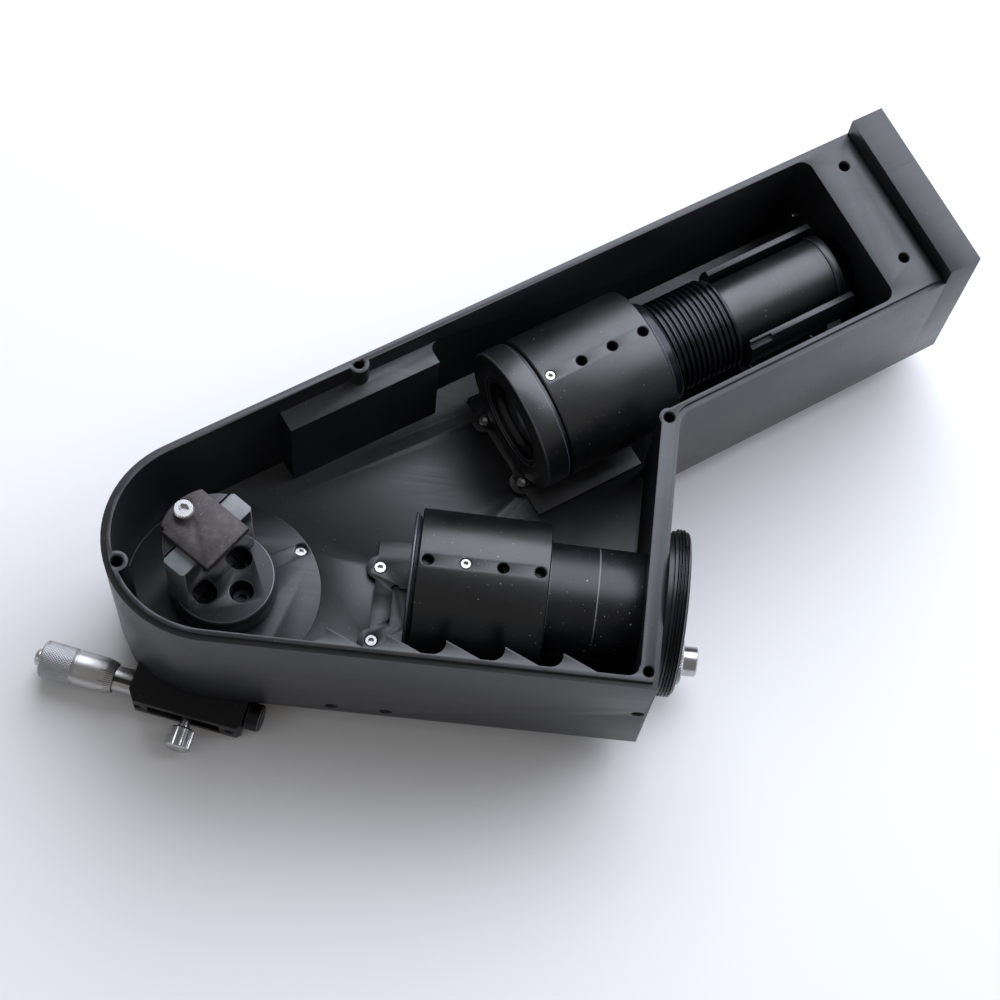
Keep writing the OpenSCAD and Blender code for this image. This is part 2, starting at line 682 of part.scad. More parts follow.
// Draw tube between the camera sleeve and the adapter
module camera_tube() {
    color([0.16, 0.16, 0.18]) translate([0, 0, axis_z])
        difference() {
            union() {
                rod(camera_sleeve_x + sleeve_len + 0.1, camera_wall_x, camera_tube_r);
                rod(camera_sleeve_x + sleeve_len - 14, camera_sleeve_x + sleeve_len + 0.2, spigot_r);
            }
            rod(camera_sleeve_x, camera_wall_x + 1, camera_bore_r);
        }
}
adapter_pitch = 1;
module adapter_ring() {
    color([0.12, 0.12, 0.13]) translate([0, 0, axis_z]) difference() {
        union() {
            rod(camera_wall_x, adapter_x - 1, adapter_neck_r);
            for (i = [0 : 4]) translate([adapter_x - 5 + i * adapter_pitch, 0, 0])
                rotate([0, 90, 0]) rotate_extrude()
                    polygon([[0, 0], [adapter_r - 0.6, 0], [adapter_r, adapter_pitch * 0.4],
                             [adapter_r, adapter_pitch * 0.6], [adapter_r - 0.6, adapter_pitch], [0, adapter_pitch]]);
        }
        rod(camera_wall_x - 1, adapter_x + 1, adapter_bore_r);
    }
}
knob_r = 8.2;
knob_tip_r = 5;
module side_knob() {
    color([0.75, 0.74, 0.72]) translate([0, knob_y, knob_z]) {
        rod(camera_wall_x - 14, camera_wall_x + 9, knob_shaft_r);
        soft_rod(camera_wall_x + 8.2, camera_wall_x + 12.6, knob_r, 0.5);
        soft_rod(camera_wall_x + 12.5, camera_wall_x + 17.6, knob_tip_r, 0.4);
        rod(camera_wall_x + 5.5, camera_wall_x + 9, 3.6);
    }
}

// Collimator tube with its shoulder ring and fine thread
module collimator_shoulder_ring() {
    color([0.5, 0.5, 0.52]) on_arm() translate([0, 0, axis_z]) difference() {
        union() {
            rod(collimator_sleeve_u + sleeve_len - 12, collimator_sleeve_u + sleeve_len, spigot_r);
            translate([collimator_sleeve_u + sleeve_len, 0, 0]) rotate([0, 90, 0]) rotate_extrude()
                polygon([[0, 0], [19.5, 0], [19.5, 1.6], [18, 2.2], [18, 4], [17.3, 5.4], [0, 5.4]]);
        }
        rod(collimator_sleeve_u, thread_u0 + 2, thread_r + run_gap);
    }
}
thread_pitch = 2;
module collimator_tube() {
    color([0.3, 0.3, 0.32]) on_arm() translate([0, 0, axis_z]) difference() {
        union() {
            rod(collimator_sleeve_u + sleeve_len - 10, thread_u0 + 1, thread_r);
            for (i = [0 : 11]) translate([thread_u0 + 1 + i * thread_pitch, 0, 0]) rotate([0, 90, 0])
                rotate_extrude() polygon([[0, 0], [thread_r - 0.9, 0], [thread_r, 0.8], [thread_r, 1.2],
                                          [thread_r - 0.9, thread_pitch], [0, thread_pitch]]);
            rod(thread_u1 - 1, tube_end_u - 3, tube_r);
        }
        rod(collimator_sleeve_u, tube_end_u + 1, tube_bore_r);
    }
}
module collimator_tube_ring() {
    color([0.35, 0.35, 0.38]) on_arm() translate([0, 0, axis_z])
        ring(tube_end_u - 2.9, tube_end_u, tube_r + 0.5, tube_bore_r);
}
cradle_foot_w = 12;
module collimator_cradle() {
    color([0.14, 0.14, 0.16]) on_arm() difference() {
        union() {
            intersection() {
                translate([0, 0, axis_z]) rod(cradle_u0, cradle_u1, cradle_out_r);
                block([cradle_u0, -30, floor_z], [cradle_u1, 30, rail_z]);
            }
            block([cradle_u0, -9, floor_z], [cradle_u1, 9, axis_z - cradle_in_r - 1]);
            block([cradle_u0 + 3, -cradle_foot_w - 4, floor_z], [cradle_u1 - 3, cradle_foot_w + 4, floor_z + 5]);
        }
        translate([0, 0, axis_z]) rod(cradle_u0 - 1, cradle_u1 + 1, cradle_in_r);
        block([cradle_u0 - 1, -cradle_in_r, axis_z], [cradle_u1 + 1, cradle_in_r, rail_z + 1]);
        block([cradle_u0 - 1, -cradle_out_r - 1, rail_z - 2], [cradle_u0 + 8, -cradle_in_r - 0.9, rail_z + 1]);
        for (v = [-1, 1], u = [cradle_u0 + 8, cradle_u1 - 8]) translate([u, v * cradle_foot_w, 0])
            post(floor_z - 1, floor_z + 6, 1.6);
    }
}
module cradle_screws() {
    color([0.75, 0.75, 0.76]) on_arm() for (v = [-1, 1], u = [cradle_u0 + 8, cradle_u1 - 8])
        translate([u, v * cradle_foot_w, 0]) cap_screw(floor_z + 5, 10, 1.45, 2.7, 2.4, 1.3);
}
module slit_cell() {
    color([0.1, 0.1, 0.11]) on_arm() translate([0, 0, axis_z])
        ring(cavity_len + 8, cavity_len + 14, slit_bore_r, 8);
}
slit_w = 0.06;
module slit_jaws() {
    color([0.75, 0.75, 0.77]) on_arm() translate([cavity_len + 14, 0, axis_z])
        for (side = [-1, 1]) intersection() {
            rod(0, 0.6, slit_bore_r - 1);
            block([-1, side > 0 ? slit_w / 2 : -slit_bore_r, -slit_bore_r],
                  [1, side > 0 ? slit_bore_r : -slit_w / 2, slit_bore_r]);
        }
}
module end_wall_grub() {
    color([0.85, 0.85, 0.85]) on_arm() translate([cavity_len, 27, base_z + 26.3]) rotate([0, -90, 0])
        set_screw(-5, 0.6, 1.45, 0.8);
}

housing();
end_plate();
end_plate_screws();
stage_plate();
stage_plate_screws();
stage_body();
stage_bush();
thrust_washer();
stage_rotor();
tangent_arm();
lock_thumbscrew();
micrometer_sleeve();
micrometer_spindle();
micrometer_thimble();
micrometer_end_stop();
bracket_grub_screws();
plunger_body();
plunger_pin();
plunger_spring();
table_disc();
table_screws();
grating_holder();
grating();
clamp_plate();
clamp_screw();
camera_saddle();
camera_saddle_screws();
camera_sleeve();
camera_sleeve_grub();
camera_cell();
camera_lens();
camera_retainer();
camera_tube();
adapter_ring();
side_knob();
collimator_saddle();
collimator_saddle_screws();
collimator_sleeve();
collimator_sleeve_grub();
collimator_cell();
collimator_lens();
collimator_retainer();
collimator_shoulder_ring();
collimator_tube();
collimator_tube_ring();
collimator_cradle();
cradle_screws();
slit_cell();
slit_jaws();
end_wall_grub();
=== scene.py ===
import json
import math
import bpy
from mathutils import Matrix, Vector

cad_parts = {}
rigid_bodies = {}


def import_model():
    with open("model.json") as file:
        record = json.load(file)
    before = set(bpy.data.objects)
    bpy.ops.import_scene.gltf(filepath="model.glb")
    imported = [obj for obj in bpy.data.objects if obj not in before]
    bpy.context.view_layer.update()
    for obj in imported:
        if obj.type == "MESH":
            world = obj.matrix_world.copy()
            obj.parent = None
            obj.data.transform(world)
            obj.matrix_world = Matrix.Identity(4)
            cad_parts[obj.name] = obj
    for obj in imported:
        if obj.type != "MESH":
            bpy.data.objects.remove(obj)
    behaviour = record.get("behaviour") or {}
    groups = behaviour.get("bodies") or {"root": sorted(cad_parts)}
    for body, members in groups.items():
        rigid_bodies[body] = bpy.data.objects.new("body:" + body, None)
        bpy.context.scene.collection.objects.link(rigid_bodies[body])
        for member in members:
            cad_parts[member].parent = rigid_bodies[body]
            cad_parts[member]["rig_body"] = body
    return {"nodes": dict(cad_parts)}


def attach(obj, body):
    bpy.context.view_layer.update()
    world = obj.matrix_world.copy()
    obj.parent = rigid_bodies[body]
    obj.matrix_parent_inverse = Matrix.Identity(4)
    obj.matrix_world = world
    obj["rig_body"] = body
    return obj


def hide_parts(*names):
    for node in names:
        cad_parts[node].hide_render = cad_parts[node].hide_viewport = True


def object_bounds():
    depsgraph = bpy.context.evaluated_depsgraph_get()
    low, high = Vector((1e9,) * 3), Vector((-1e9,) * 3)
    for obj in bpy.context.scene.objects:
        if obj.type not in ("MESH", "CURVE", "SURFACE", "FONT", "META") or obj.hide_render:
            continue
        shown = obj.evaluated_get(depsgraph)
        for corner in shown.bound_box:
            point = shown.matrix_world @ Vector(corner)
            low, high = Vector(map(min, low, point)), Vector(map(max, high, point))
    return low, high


bl_info = {
    "name": "Open grating spectroscope",
    "version": (1, 0, 0),
    "blender": (4, 5, 0),
    "location": "3D View > Sidebar > Spectroscope",
    "description": "Finished pieces and materials for a milled spectroscope",
    "category": "Object",
}

import bmesh
import bpy
from bpy.props import FloatProperty, FloatVectorProperty, IntProperty, PointerProperty
from mathutils import Matrix, Vector

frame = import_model()
CAD_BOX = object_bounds()

# Directions in plan: the collimator arm, the micrometer's axis and the grating's face line
ARM_TURN = math.radians(35.5)
DRIVE_TURN = math.radians(-10.5)
FACE_TURN = math.radians(55)
OPTICAL_Z = 0.051
DRIVE_Z = 0.007
DRIVE_RADIUS = 0.033


def turned_frame(angle, x=0.0, y=0.0, z=0.0):
    """A frame whose X axis is turned in plan, at the point x, y, z of that turned plan."""
    return Matrix.Rotation(angle, 4, "Z") @ Matrix.Translation((x, y, z))


CAMERA_AXIS = turned_frame(0.0, z=OPTICAL_Z)
COLLIMATOR_AXIS = turned_frame(ARM_TURN, z=OPTICAL_Z)
MICROMETER_AXIS = turned_frame(DRIVE_TURN, y=-DRIVE_RADIUS, z=DRIVE_Z)
THUMBSCREW_AXIS = turned_frame(DRIVE_TURN - math.pi / 2, z=DRIVE_Z)
GRATING_FRAME = turned_frame(FACE_TURN)


def linear(code):
    """An sRGB hex colour as linear RGBA."""
    parts = [int(code[i : i + 2], 16) / 255 for i in (1, 3, 5)]
    return (*[c / 12.92 if c <= 0.04045 else ((c + 0.055) / 1.055) ** 2.4 for c in parts], 1.0)


def add(tree, kind, values=None, **settings):
    """Adds a node. Values map an input's name or number to a constant, or to an output to link."""
    made = tree.nodes.new(kind)
    for key, value in settings.items():
        setattr(made, key, value)
    for key, value in (values or {}).items():
        if isinstance(value, bpy.types.NodeSocket):
            tree.links.new(value, made.inputs[key])
        else:
            made.inputs[key].default_value = value
    return made


def math_node(tree, operation, *values):
    return add(tree, "ShaderNodeMath", dict(enumerate(values)), operation=operation).outputs[0]


# ---------------------------------------------------------------- materials


def new_material(name):
    """An empty node material with its output node."""
    material = bpy.data.materials.new(name)
    material.use_nodes = True
    material.node_tree.nodes.clear()
    return material, material.node_tree


def finish_material(material, tree, values):
    """Gives the material a surface with these values."""
    shader = add(tree, "ShaderNodeBsdfPrincipled", values)
    add(tree, "ShaderNodeOutputMaterial", {"Surface": shader.outputs[0]})
    return material


def remap(tree, value, low, high, out_low, out_high):
    """Value from low..high to out_low..out_high, clamped."""
    return add(
        tree,
        "ShaderNodeMapRange",
        {"Value": value, "From Min": low, "From Max": high, "To Min": out_low, "To Max": out_high},
    ).outputs["Result"]


def blended(tree, factor, first, second):
    """The colour that goes from first to second as the factor goes from 0 to 1."""
    return add(tree, "ShaderNodeMix", {"Factor": factor, 6: first, 7: second}, data_type="RGBA").outputs[2]


def object_mapping(tree, matrix=None, scale=(1, 1, 1)):
    """Object coordinates in the piece's own frame, then scaled. Returns the vector output."""
    coords = add(tree, "ShaderNodeTexCoord").outputs["Object"]
    if matrix is not None:
        back = matrix.inverted()
        coords = add(
            tree,
            "ShaderNodeMapping",
            {"Vector": coords, "Location": back.to_translation(), "Rotation": back.to_euler()},
        ).outputs["Vector"]
    return add(tree, "ShaderNodeMapping", {"Vector": coords, "Scale": scale}).outputs["Vector"]


def noise(tree, scale, detail=2.0, roughness=0.5, vector=None):
    """Noise with scale lumps to a metre, in object coordinates or the vector's own."""
    if vector is None:
        vector = object_mapping(tree)
    values = {"Vector": vector, "Scale": scale, "Detail": detail, "Roughness": roughness}
    return add(tree, "ShaderNodeTexNoise", values).outputs["Fac"]


def bumped(tree, height, strength, distance, **settings):
    values = {"Height": height, "Strength": strength, "Distance": distance}
    return add(tree, "ShaderNodeBump", values, **settings).outputs["Normal"]


def milled_anodised(name, colour, dull, strokes, turn=0.0, dust=0.5, gloss=1.6, rough=0.38):
    """Aluminium 6061, milled and anodised black: dark, faintly violet, with cutter strokes that
    the dye doesn't hide, a hazy sheen that changes with handling, and a few specks of dust."""
    material, tree = new_material(name)
    plane = turned_frame(turn)
    # strokes 0.35 mm apart, drawn about twice as coarse as a finishing cut so that they show
    lines = noise(tree, 1.0, 3.0, vector=object_mapping(tree, plane, (25, 2800, 2800)))
    # handling marks and dye clouds about 30 mm across
    clouds = noise(tree, 33.0, 4.0, roughness=0.6)
    # grains of dust about 0.3 mm across
    grains = noise(tree, 1500.0, 1.0)
    tint = blended(tree, remap(tree, clouds, 0.3, 0.7, 0.0, 1.0), colour, dull)
    dusty = blended(tree, remap(tree, grains, 0.76, 0.8, 0.0, dust), tint, linear("#8A8782"))
    haze = remap(tree, clouds, 0.25, 0.75, rough - 0.05, rough + 0.07)
    cutter = remap(tree, lines, 0.3, 0.7, -0.05, 0.05)
    shine = math_node(tree, "ADD", haze, cutter)
    bump = bumped(tree, lines, strokes, 0.00002)
    values = {"Base Color": dusty, "Roughness": shine, "Normal": bump, "IOR": gloss}
    return finish_material(material, tree, values)


def turned_metal(
    name, axis, colour, rough, groove_mm, depth, metal, dye=None, speck=0.0, highlight_ring_x=None, gloss=1.5
):
    """Metal turned on a lathe: fine grooves round the axis, which stretch its highlights across."""
    material, tree = new_material(name)
    local = object_mapping(tree, axis)
    split = add(tree, "ShaderNodeSeparateXYZ", {0: local})
    # tool marks groove_mm apart, uneven from cut to cut
    along = math_node(tree, "MULTIPLY", split.outputs[0], 1000.0 / groove_mm)
    cuts = add(
        tree,
        "ShaderNodeTexNoise",
        {"W": along, "Scale": 1.0, "Detail": 2.0},
        noise_dimensions="1D",
    )
    # smudges about 17 mm across
    smudge = noise(tree, 60.0, 5.0, roughness=0.65)
    base = blended(tree, remap(tree, smudge, 0.35, 0.7, 0.0, 1.0), linear(colour), linear(dye or colour))
    if speck:
        # grains of dust about 0.4 mm across
        grains = noise(tree, 1300.0, 1.0)
        base = blended(tree, remap(tree, grains, 0.75, 0.79, 0.0, speck), base, linear("#B9B6B0"))
    if highlight_ring_x:
        # a painted highlight: a bright ring 0.35 mm wide round the axis, painted on the upper side alone and
        # brighter towards the top
        highlight_offset = math_node(tree, "ADD", split.outputs[0], -highlight_ring_x)
        highlight_offset = math_node(tree, "ABSOLUTE", highlight_offset)
        ring = remap(tree, highlight_offset, 0.00012, 0.00028, 1.0, 0.0)
        side = remap(tree, split.outputs[2], 0.006, 0.015, 0.0, 0.75)
        shown = math_node(tree, "MULTIPLY", ring, side)
        # the pale grey #7F7C7A is the painted highlight of that ring
        base = blended(tree, shown, base, linear("#7F7C7A"))
    bump = bumped(tree, cuts.outputs[0], depth, 0.00002)
    return finish_material(material, tree, {
        "Base Color": base,
        "Roughness": remap(tree, smudge, 0.3, 0.7, rough - 0.04, rough + 0.06),
        "Normal": bump,
        "Metallic": metal,
        "IOR": gloss,
    })


def plated_metal(name, colour, rough, cloud=0.05, metal=1.0):
    """Nickel, chrome or stainless steel with a fine satin: even, with soft clouds in its gloss."""
    material, tree = new_material(name)
    clouds = noise(tree, 350.0, 4.0)
    # satin grain 0.08 mm across
    grain = noise(tree, 9000.0, 1.0)
    bump = bumped(tree, grain, 0.15, 0.00001)
    tint = blended(tree, remap(tree, clouds, 0.3, 0.7, 0.0, 0.35), linear(colour), linear("#77777A"))
    return finish_material(material, tree, {
        "Base Color": tint,
        "Roughness": remap(tree, clouds, 0.3, 0.7, rough - cloud, rough + cloud),
        "Metallic": metal,
        "Normal": bump,
    })


def graduated_chrome(name, divisions, edge_x, tick, turn=0.0):
    """Satin chrome with black-filled engraved divisions round its edge, every fifth one longer."""
    material, tree = new_material(name)
    split = add(tree, "ShaderNodeSeparateXYZ", {0: object_mapping(tree, MICROMETER_AXIS)})
    angle = math_node(tree, "ARCTAN2", split.outputs[1], split.outputs[2])
    share = math_node(tree, "MULTIPLY_ADD", angle, divisions / math.tau, turn)

    def near_line(step, width):
        scaled = math_node(tree, "MULTIPLY", share, 1.0 / step)
        fold = math_node(tree, "PINGPONG", scaled, 0.5)
        return remap(tree, fold, width / step * 0.6, width / step, 1.0, 0.0)

    back = math_node(tree, "SUBTRACT", split.outputs[0], edge_x)
    back = math_node(tree, "ABSOLUTE", back)
    short = remap(tree, back, tick * 0.55, tick * 0.6, 1.0, 0.0)
    long = remap(tree, back, tick * 0.95, tick, 1.0, 0.0)
    # lines 0.15 mm wide, drawn a little wider than real ones so that they show
    fine = math_node(tree, "MULTIPLY", near_line(1.0, 0.13), short)
    main = math_node(tree, "MULTIPLY", near_line(5.0, 0.16), long)
    ink = math_node(tree, "MAXIMUM", fine, main)
    clouds = noise(tree, 300.0, 4.0)
    tint = blended(tree, ink, linear("#BDBCBA"), linear("#2A2A2C"))
    return finish_material(material, tree, {
        "Base Color": tint,
        "Roughness": remap(tree, clouds, 0.3, 0.7, 0.3, 0.4),
        "Metallic": remap(tree, ink, 0.0, 1.0, 0.9, 0.2),
        "Normal": bumped(tree, ink, 0.4, 0.00003, invert=True),
    })


def ground_glass(name):
    """Borosilicate block with ground sides: pale, waxy, with a fine even tooth."""
    material, tree = new_material(name)
    haze = noise(tree, 120.0, 5.0)
    # grit about 0.1 mm across
    grit = noise(tree, 9000.0)
    tint = blended(tree, remap(tree, haze, 0.3, 0.7, 0.0, 1.0), linear("#6A6F72"), linear("#8B9092"))
    return finish_material(material, tree, {
        "Base Color": tint,
        "Roughness": remap(tree, haze, 0.3, 0.7, 0.42, 0.55),
        "IOR": 1.47,
        "Subsurface Weight": 0.25,
        "Subsurface Radius": (0.004, 0.004, 0.004),
        "Normal": bumped(tree, grit, 0.25, 0.00001),
    })


def ruled_mirror(name):
    """Aluminised and ruled face: a grey mirror whose upright rulings smear reflections sideways
    and give it a faint band of spectral colour."""
    material, tree = new_material(name)
    split = add(tree, "ShaderNodeSeparateXYZ", {0: object_mapping(tree, GRATING_FRAME)})
    # the real rulings are under a micron apart, so they are drawn 0.12 mm apart
    ridge = math_node(tree, "MULTIPLY", split.outputs[0], 8000.0)
    ridge = math_node(tree, "PINGPONG", ridge, 0.5)
    band = math_node(tree, "ADD", split.outputs[0], split.outputs[2])
    colours = add(tree, "ShaderNodeValToRGB", {"Fac": remap(tree, band, 0.02, 0.07, 0.0, 1.0)})
    ramp = colours.color_ramp
    ramp.elements[0].color, ramp.elements[1].color = linear("#8A90A0"), linear("#8F9A92")
    middle = ramp.elements.new(0.5)
    middle.color = linear("#9C9690")
    return finish_material(material, tree, {
        "Base Color": colours.outputs[0],
        "Metallic": 1.0,
        "Roughness": 0.16,
        "Normal": bumped(tree, ridge, 0.05, 0.00001),
    })


def worn_clamp_metal(name):
    """Dural strip whose brown-grey anodising is scuffed: blotches, fine scratches, bare spots."""
    material, tree = new_material(name)
    # blotches about 5 mm across
    blotch = noise(tree, 180.0, 6.0, roughness=0.7)
    # scratches 0.1 mm wide across the strip
    scratch = noise(tree, 1.0, 4.0, vector=object_mapping(tree, GRATING_FRAME, (700, 4500, 700)))
    tint = add(tree, "ShaderNodeValToRGB", {"Fac": blotch})
    ramp = tint.color_ramp
    ramp.elements[0].position, ramp.elements[0].color = 0.3, linear("#2C2829")
    ramp.elements[1].position, ramp.elements[1].color = 0.75, linear("#5F5A5B")
    middle = ramp.elements.new(0.52)
    middle.color = linear("#423D3E")
    worn = remap(tree, scratch, 0.66, 0.74, 0.0, 0.6)
    bare = blended(tree, worn, tint.outputs[0], linear("#A8A09A"))
    return finish_material(material, tree, {
        "Base Color": bare,
        "Metallic": 0.45,
        "Roughness": remap(tree, blotch, 0.3, 0.7, 0.38, 0.56),
        "Normal": bumped(tree, scratch, 0.35, 0.00003),
    })


def coated_lens_glass(name):
    """Polished crown glass with a thin magenta-green coating."""
    material, tree = new_material(name)
    facing = add(tree, "ShaderNodeLayerWeight", {"Blend": 0.35}).outputs["Facing"]
    coat = blended(tree, facing, linear("#E4EFEA"), linear("#B9A6C9"))
    values = {"Base Color": coat, "Roughness": 0.03, "IOR": 1.52, "Transmission Weight": 1.0}
    return finish_material(material, tree, values)


def moulded_nylon(name):
    """White nylon, slightly waxy."""
    material, tree = new_material(name)
    mottle = noise(tree, 400.0)
    gloss = remap(tree, mottle, 0.3, 0.7, 0.4, 0.55)
    return finish_material(
        material, tree, {"Base Color": linear("#D8D5CC"), "Roughness": gloss, "IOR": 1.53}
    )


MATERIALS = {}


def material(name):
    """The finish of that name, made on first use."""
    if name not in MATERIALS:
        look = bpy.context.scene.spectroscope_finish
        black, haze = (*look.anodised_black, 1.0), (*look.anodised_haze, 1.0)
        makers = {
            "milled_anodised": lambda n: milled_anodised(n, black, haze, 0.35),
            "milled_anodised_arm": lambda n: milled_anodised(n, black, haze, 0.35, ARM_TURN),
            # broken edges of anodised parts: a lighter grey that is partly edge wear and partly a painted
            # highlight along every edge
            "anodised_edge_wear_and_highlight": lambda n: milled_anodised(
                n, linear("#3E3F46"), linear("#4C4D55"), 0.1, dust=0.2, gloss=1.8, rough=0.3
            ),
            "stage_anodised": lambda n: milled_anodised(
                n, linear("#060609"), linear("#0B0B10"), 0.25, DRIVE_TURN, gloss=1.35
            ),
            "table_anodised": lambda n: milled_anodised(
                n, linear("#191A1E"), linear("#222327"), 0.3, FACE_TURN, dust=0.8, gloss=1.5
            ),
            "camera_turned": lambda n: turned_metal(
                n, CAMERA_AXIS, "#08090C", 0.32, 0.22, 0.35, 0.0, "#0E0F12", speck=0.45, gloss=1.62
            ),
            "camera_tube_turned": lambda n: turned_metal(
                # a painted highlight ring round the camera tube, 114.5 mm along the camera axis
                n, CAMERA_AXIS, "#0A0B0E", 0.36, 0.3, 0.45, 0.0, "#121317", speck=0.7, highlight_ring_x=0.1145, gloss=1.48
            ),
            "collimator_turned": lambda n: turned_metal(
                n, COLLIMATOR_AXIS, "#08090C", 0.38, 0.22, 0.35, 0.0, "#0E0F12", speck=0.4, gloss=1.75
            ),
            "dark_turned_camera": lambda n: turned_metal(
                n, CAMERA_AXIS, "#0A0A0D", 0.34, 0.25, 0.4, 0.0, "#101014", gloss=1.5
            ),
            "dark_turned_collimator": lambda n: turned_metal(
                n, COLLIMATOR_AXIS, "#0A0A0D", 0.34, 0.25, 0.4, 0.0, "#101014", gloss=1.5
            ),
            "ring_thread": lambda n: turned_metal(
                n, CAMERA_AXIS, "#1E1F23", 0.26, 0.3, 0.2, 0.6, "#2E2F34"
            ),
            "worn_thread": lambda n: turned_metal(
                n, COLLIMATOR_AXIS, "#26272B", 0.24, 0.3, 0.2, 0.8, "#3C3C41"
            ),
            "satin_chrome": lambda n: turned_metal(
                n, MICROMETER_AXIS, "#C4C3C1", 0.3, 0.15, 0.15, 1.0, "#ACABA8"
            ),
            "thimble_chrome": lambda n: graduated_chrome(n, 50, -0.025, 0.0042),
            "sleeve_chrome": lambda n: graduated_chrome(n, 4, -0.022, 0.0085, 0.2),
            "knurled_chrome": lambda n: plated_metal(n, "#A9ABAD", 0.33),
            "nickel": lambda n: plated_metal(n, "#C6C6C7", 0.24),
            "stainless": lambda n: plated_metal(n, "#DADADA", 0.22),
            "black_oxide_steel": lambda n: plated_metal(n, "#26262A", 0.36, metal=0.8),
            "bearing_bronze": lambda n: plated_metal(n, "#A9793F", 0.3),
            "ground_glass": ground_glass,
            "ruled_mirror": ruled_mirror,
            "worn_clamp_metal": worn_clamp_metal,
            "coated_lens_glass": coated_lens_glass,
            "moulded_nylon": moulded_nylon,
        }
        MATERIALS[name] = makers[name](name)
    return MATERIALS[name]


# ---------------------------------------------------------------- mesh helpers


def keep(name, mesh, body, replaced=(), smooth=35):
    """A finished piece from a mesh that is already in place: shaded, riding on its body."""
    piece = bpy.data.objects.new(name, mesh)
    bpy.context.scene.collection.objects.link(piece)
    mesh.shade_smooth()
    mesh.set_sharp_from_angle(angle=math.radians(smooth))
    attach(piece, body)
    if replaced:
        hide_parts(*replaced)
    return piece


def evaluated_mesh(piece, name):
    """The piece's mesh with its modifiers applied."""
    graph = bpy.context.evaluated_depsgraph_get()
    return bpy.data.meshes.new_from_object(piece.evaluated_get(graph), depsgraph=graph)


def body_of(node):
    return frame["nodes"][node]["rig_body"]


def eased(node, main, edge, width, segments=2):
    """A copy of a CAD node with its sharp edges broken, and the broken edges in the edge material; for the
    anodised parts that is a lighter grey, partly edge wear and partly a painted highlight along every edge.
    """
    source = frame["nodes"][node].data
    work = bpy.data.meshes.new(node + "_eased")
    bm = bmesh.new()
    bm.from_mesh(source)
    bmesh.ops.remove_doubles(bm, verts=bm.verts, dist=2e-6)
    bmesh.ops.dissolve_limit(bm, angle_limit=math.radians(0.5), verts=bm.verts, edges=bm.edges)
    bm.to_mesh(work)
    bm.free()
    work.materials.clear()
    work.materials.append(material(main))
    work.materials.append(material(edge))
    for face in work.polygons:
        face.material_index = 0
    piece = bpy.data.objects.new(node + "_work", work)
    bpy.context.scene.collection.objects.link(piece)
    bevel = piece.modifiers.new("ease", "BEVEL")
    bevel.width, bevel.segments, bevel.limit_method = width, segments, "ANGLE"
    # bevel faces take the edge material in slot 1; on anodised parts its lighter grey is partly wear and
    # partly a painted highlight
    bevel.angle_limit, bevel.material, bevel.use_clamp_overlap = math.radians(32), 1, True
    bevel.harden_normals = False
    bpy.context.view_layer.update()
    mesh = evaluated_mesh(piece, node)
    bpy.data.objects.remove(piece)
    weld = bmesh.new()
    weld.from_mesh(mesh)
    bmesh.ops.remove_doubles(weld, verts=weld.verts, dist=1e-6)
    weld.to_mesh(mesh)
    weld.free()
    return mesh


def lathe(profile, matrix, segments=96):
    """A closed solid turned about the frame's X axis from (x, radius) points in millimetres."""
    bm = bmesh.new()
    rings = []
    for x, radius in profile:
        if radius < 1e-6:
            rings.append([bm.verts.new((x / 1000, 0, 0))])
            continue
        ring = []
        for k in range(segments):
            turn = math.tau * k / segments
            side, up = radius / 1000 * math.cos(turn), radius / 1000 * math.sin(turn)
            ring.append(bm.verts.new((x / 1000, side, up)))
        rings.append(ring)
    closed = len(rings[0]) > 1 and len(rings[-1]) > 1
    pairs = list(zip(rings, rings[1:] + ([rings[0]] if closed else [])))
    for a, b in pairs if closed else pairs[: len(rings) - 1]:
        for k in range(segments):
            j = (k + 1) % segments
            if len(a) == 1:
                bm.faces.new((a[0], b[j], b[k]))
            elif len(b) == 1:
                bm.faces.new((a[k], a[j], b[0]))
            else:
                bm.faces.new((a[k], a[j], b[j], b[k]))
    bmesh.ops.recalc_face_normals(bm, faces=bm.faces)
    bm.transform(matrix)
    mesh = bpy.data.meshes.new("turned")
    bm.to_mesh(mesh)
    bm.free()
    return mesh


def joined(parts, name):
    """One mesh from (mesh, material name) parts, each part keeping its finish."""
    bm = bmesh.new()
    out = bpy.data.meshes.new(name)
    for index, (mesh, finish) in enumerate(parts):
        start = len(bm.faces)
        bm.from_mesh(mesh)
        bm.faces.ensure_lookup_table()
        for face in bm.faces[start:]:
            face.material_index = index
        out.materials.append(material(finish))
    bm.to_mesh(out)
    bm.free()
    return out


# ---------------------------------------------------------------- Geometry Nodes


def new_tree(name, inputs):
    """A Geometry Nodes tree with named inputs. Returns the tree, its input node and output node."""
    tree = bpy.data.node_groups.new(name, "GeometryNodeTree")
    tree.interface.new_socket("Geometry", in_out="INPUT", socket_type="NodeSocketGeometry")
    for label, kind, default in inputs:
        made = tree.interface.new_socket(label, in_out="INPUT", socket_type=kind)
        if default is not None:
            made.default_value = default
    tree.interface.new_socket("Geometry", in_out="OUTPUT", socket_type="NodeSocketGeometry")
    return tree, tree.nodes.new("NodeGroupInput"), tree.nodes.new("NodeGroupOutput")


def close_tree(tree, geometry, given, output):
    """Ends a tree in Realize Instances and Set Material."""
    real = add(tree, "GeometryNodeRealizeInstances", {0: geometry})
    shaded = add(
        tree, "GeometryNodeSetMaterial", {"Geometry": real.outputs[0], "Material": given.outputs["Material"]}
    )
    tree.links.new(shaded.outputs[0], output.inputs[0])
    return tree


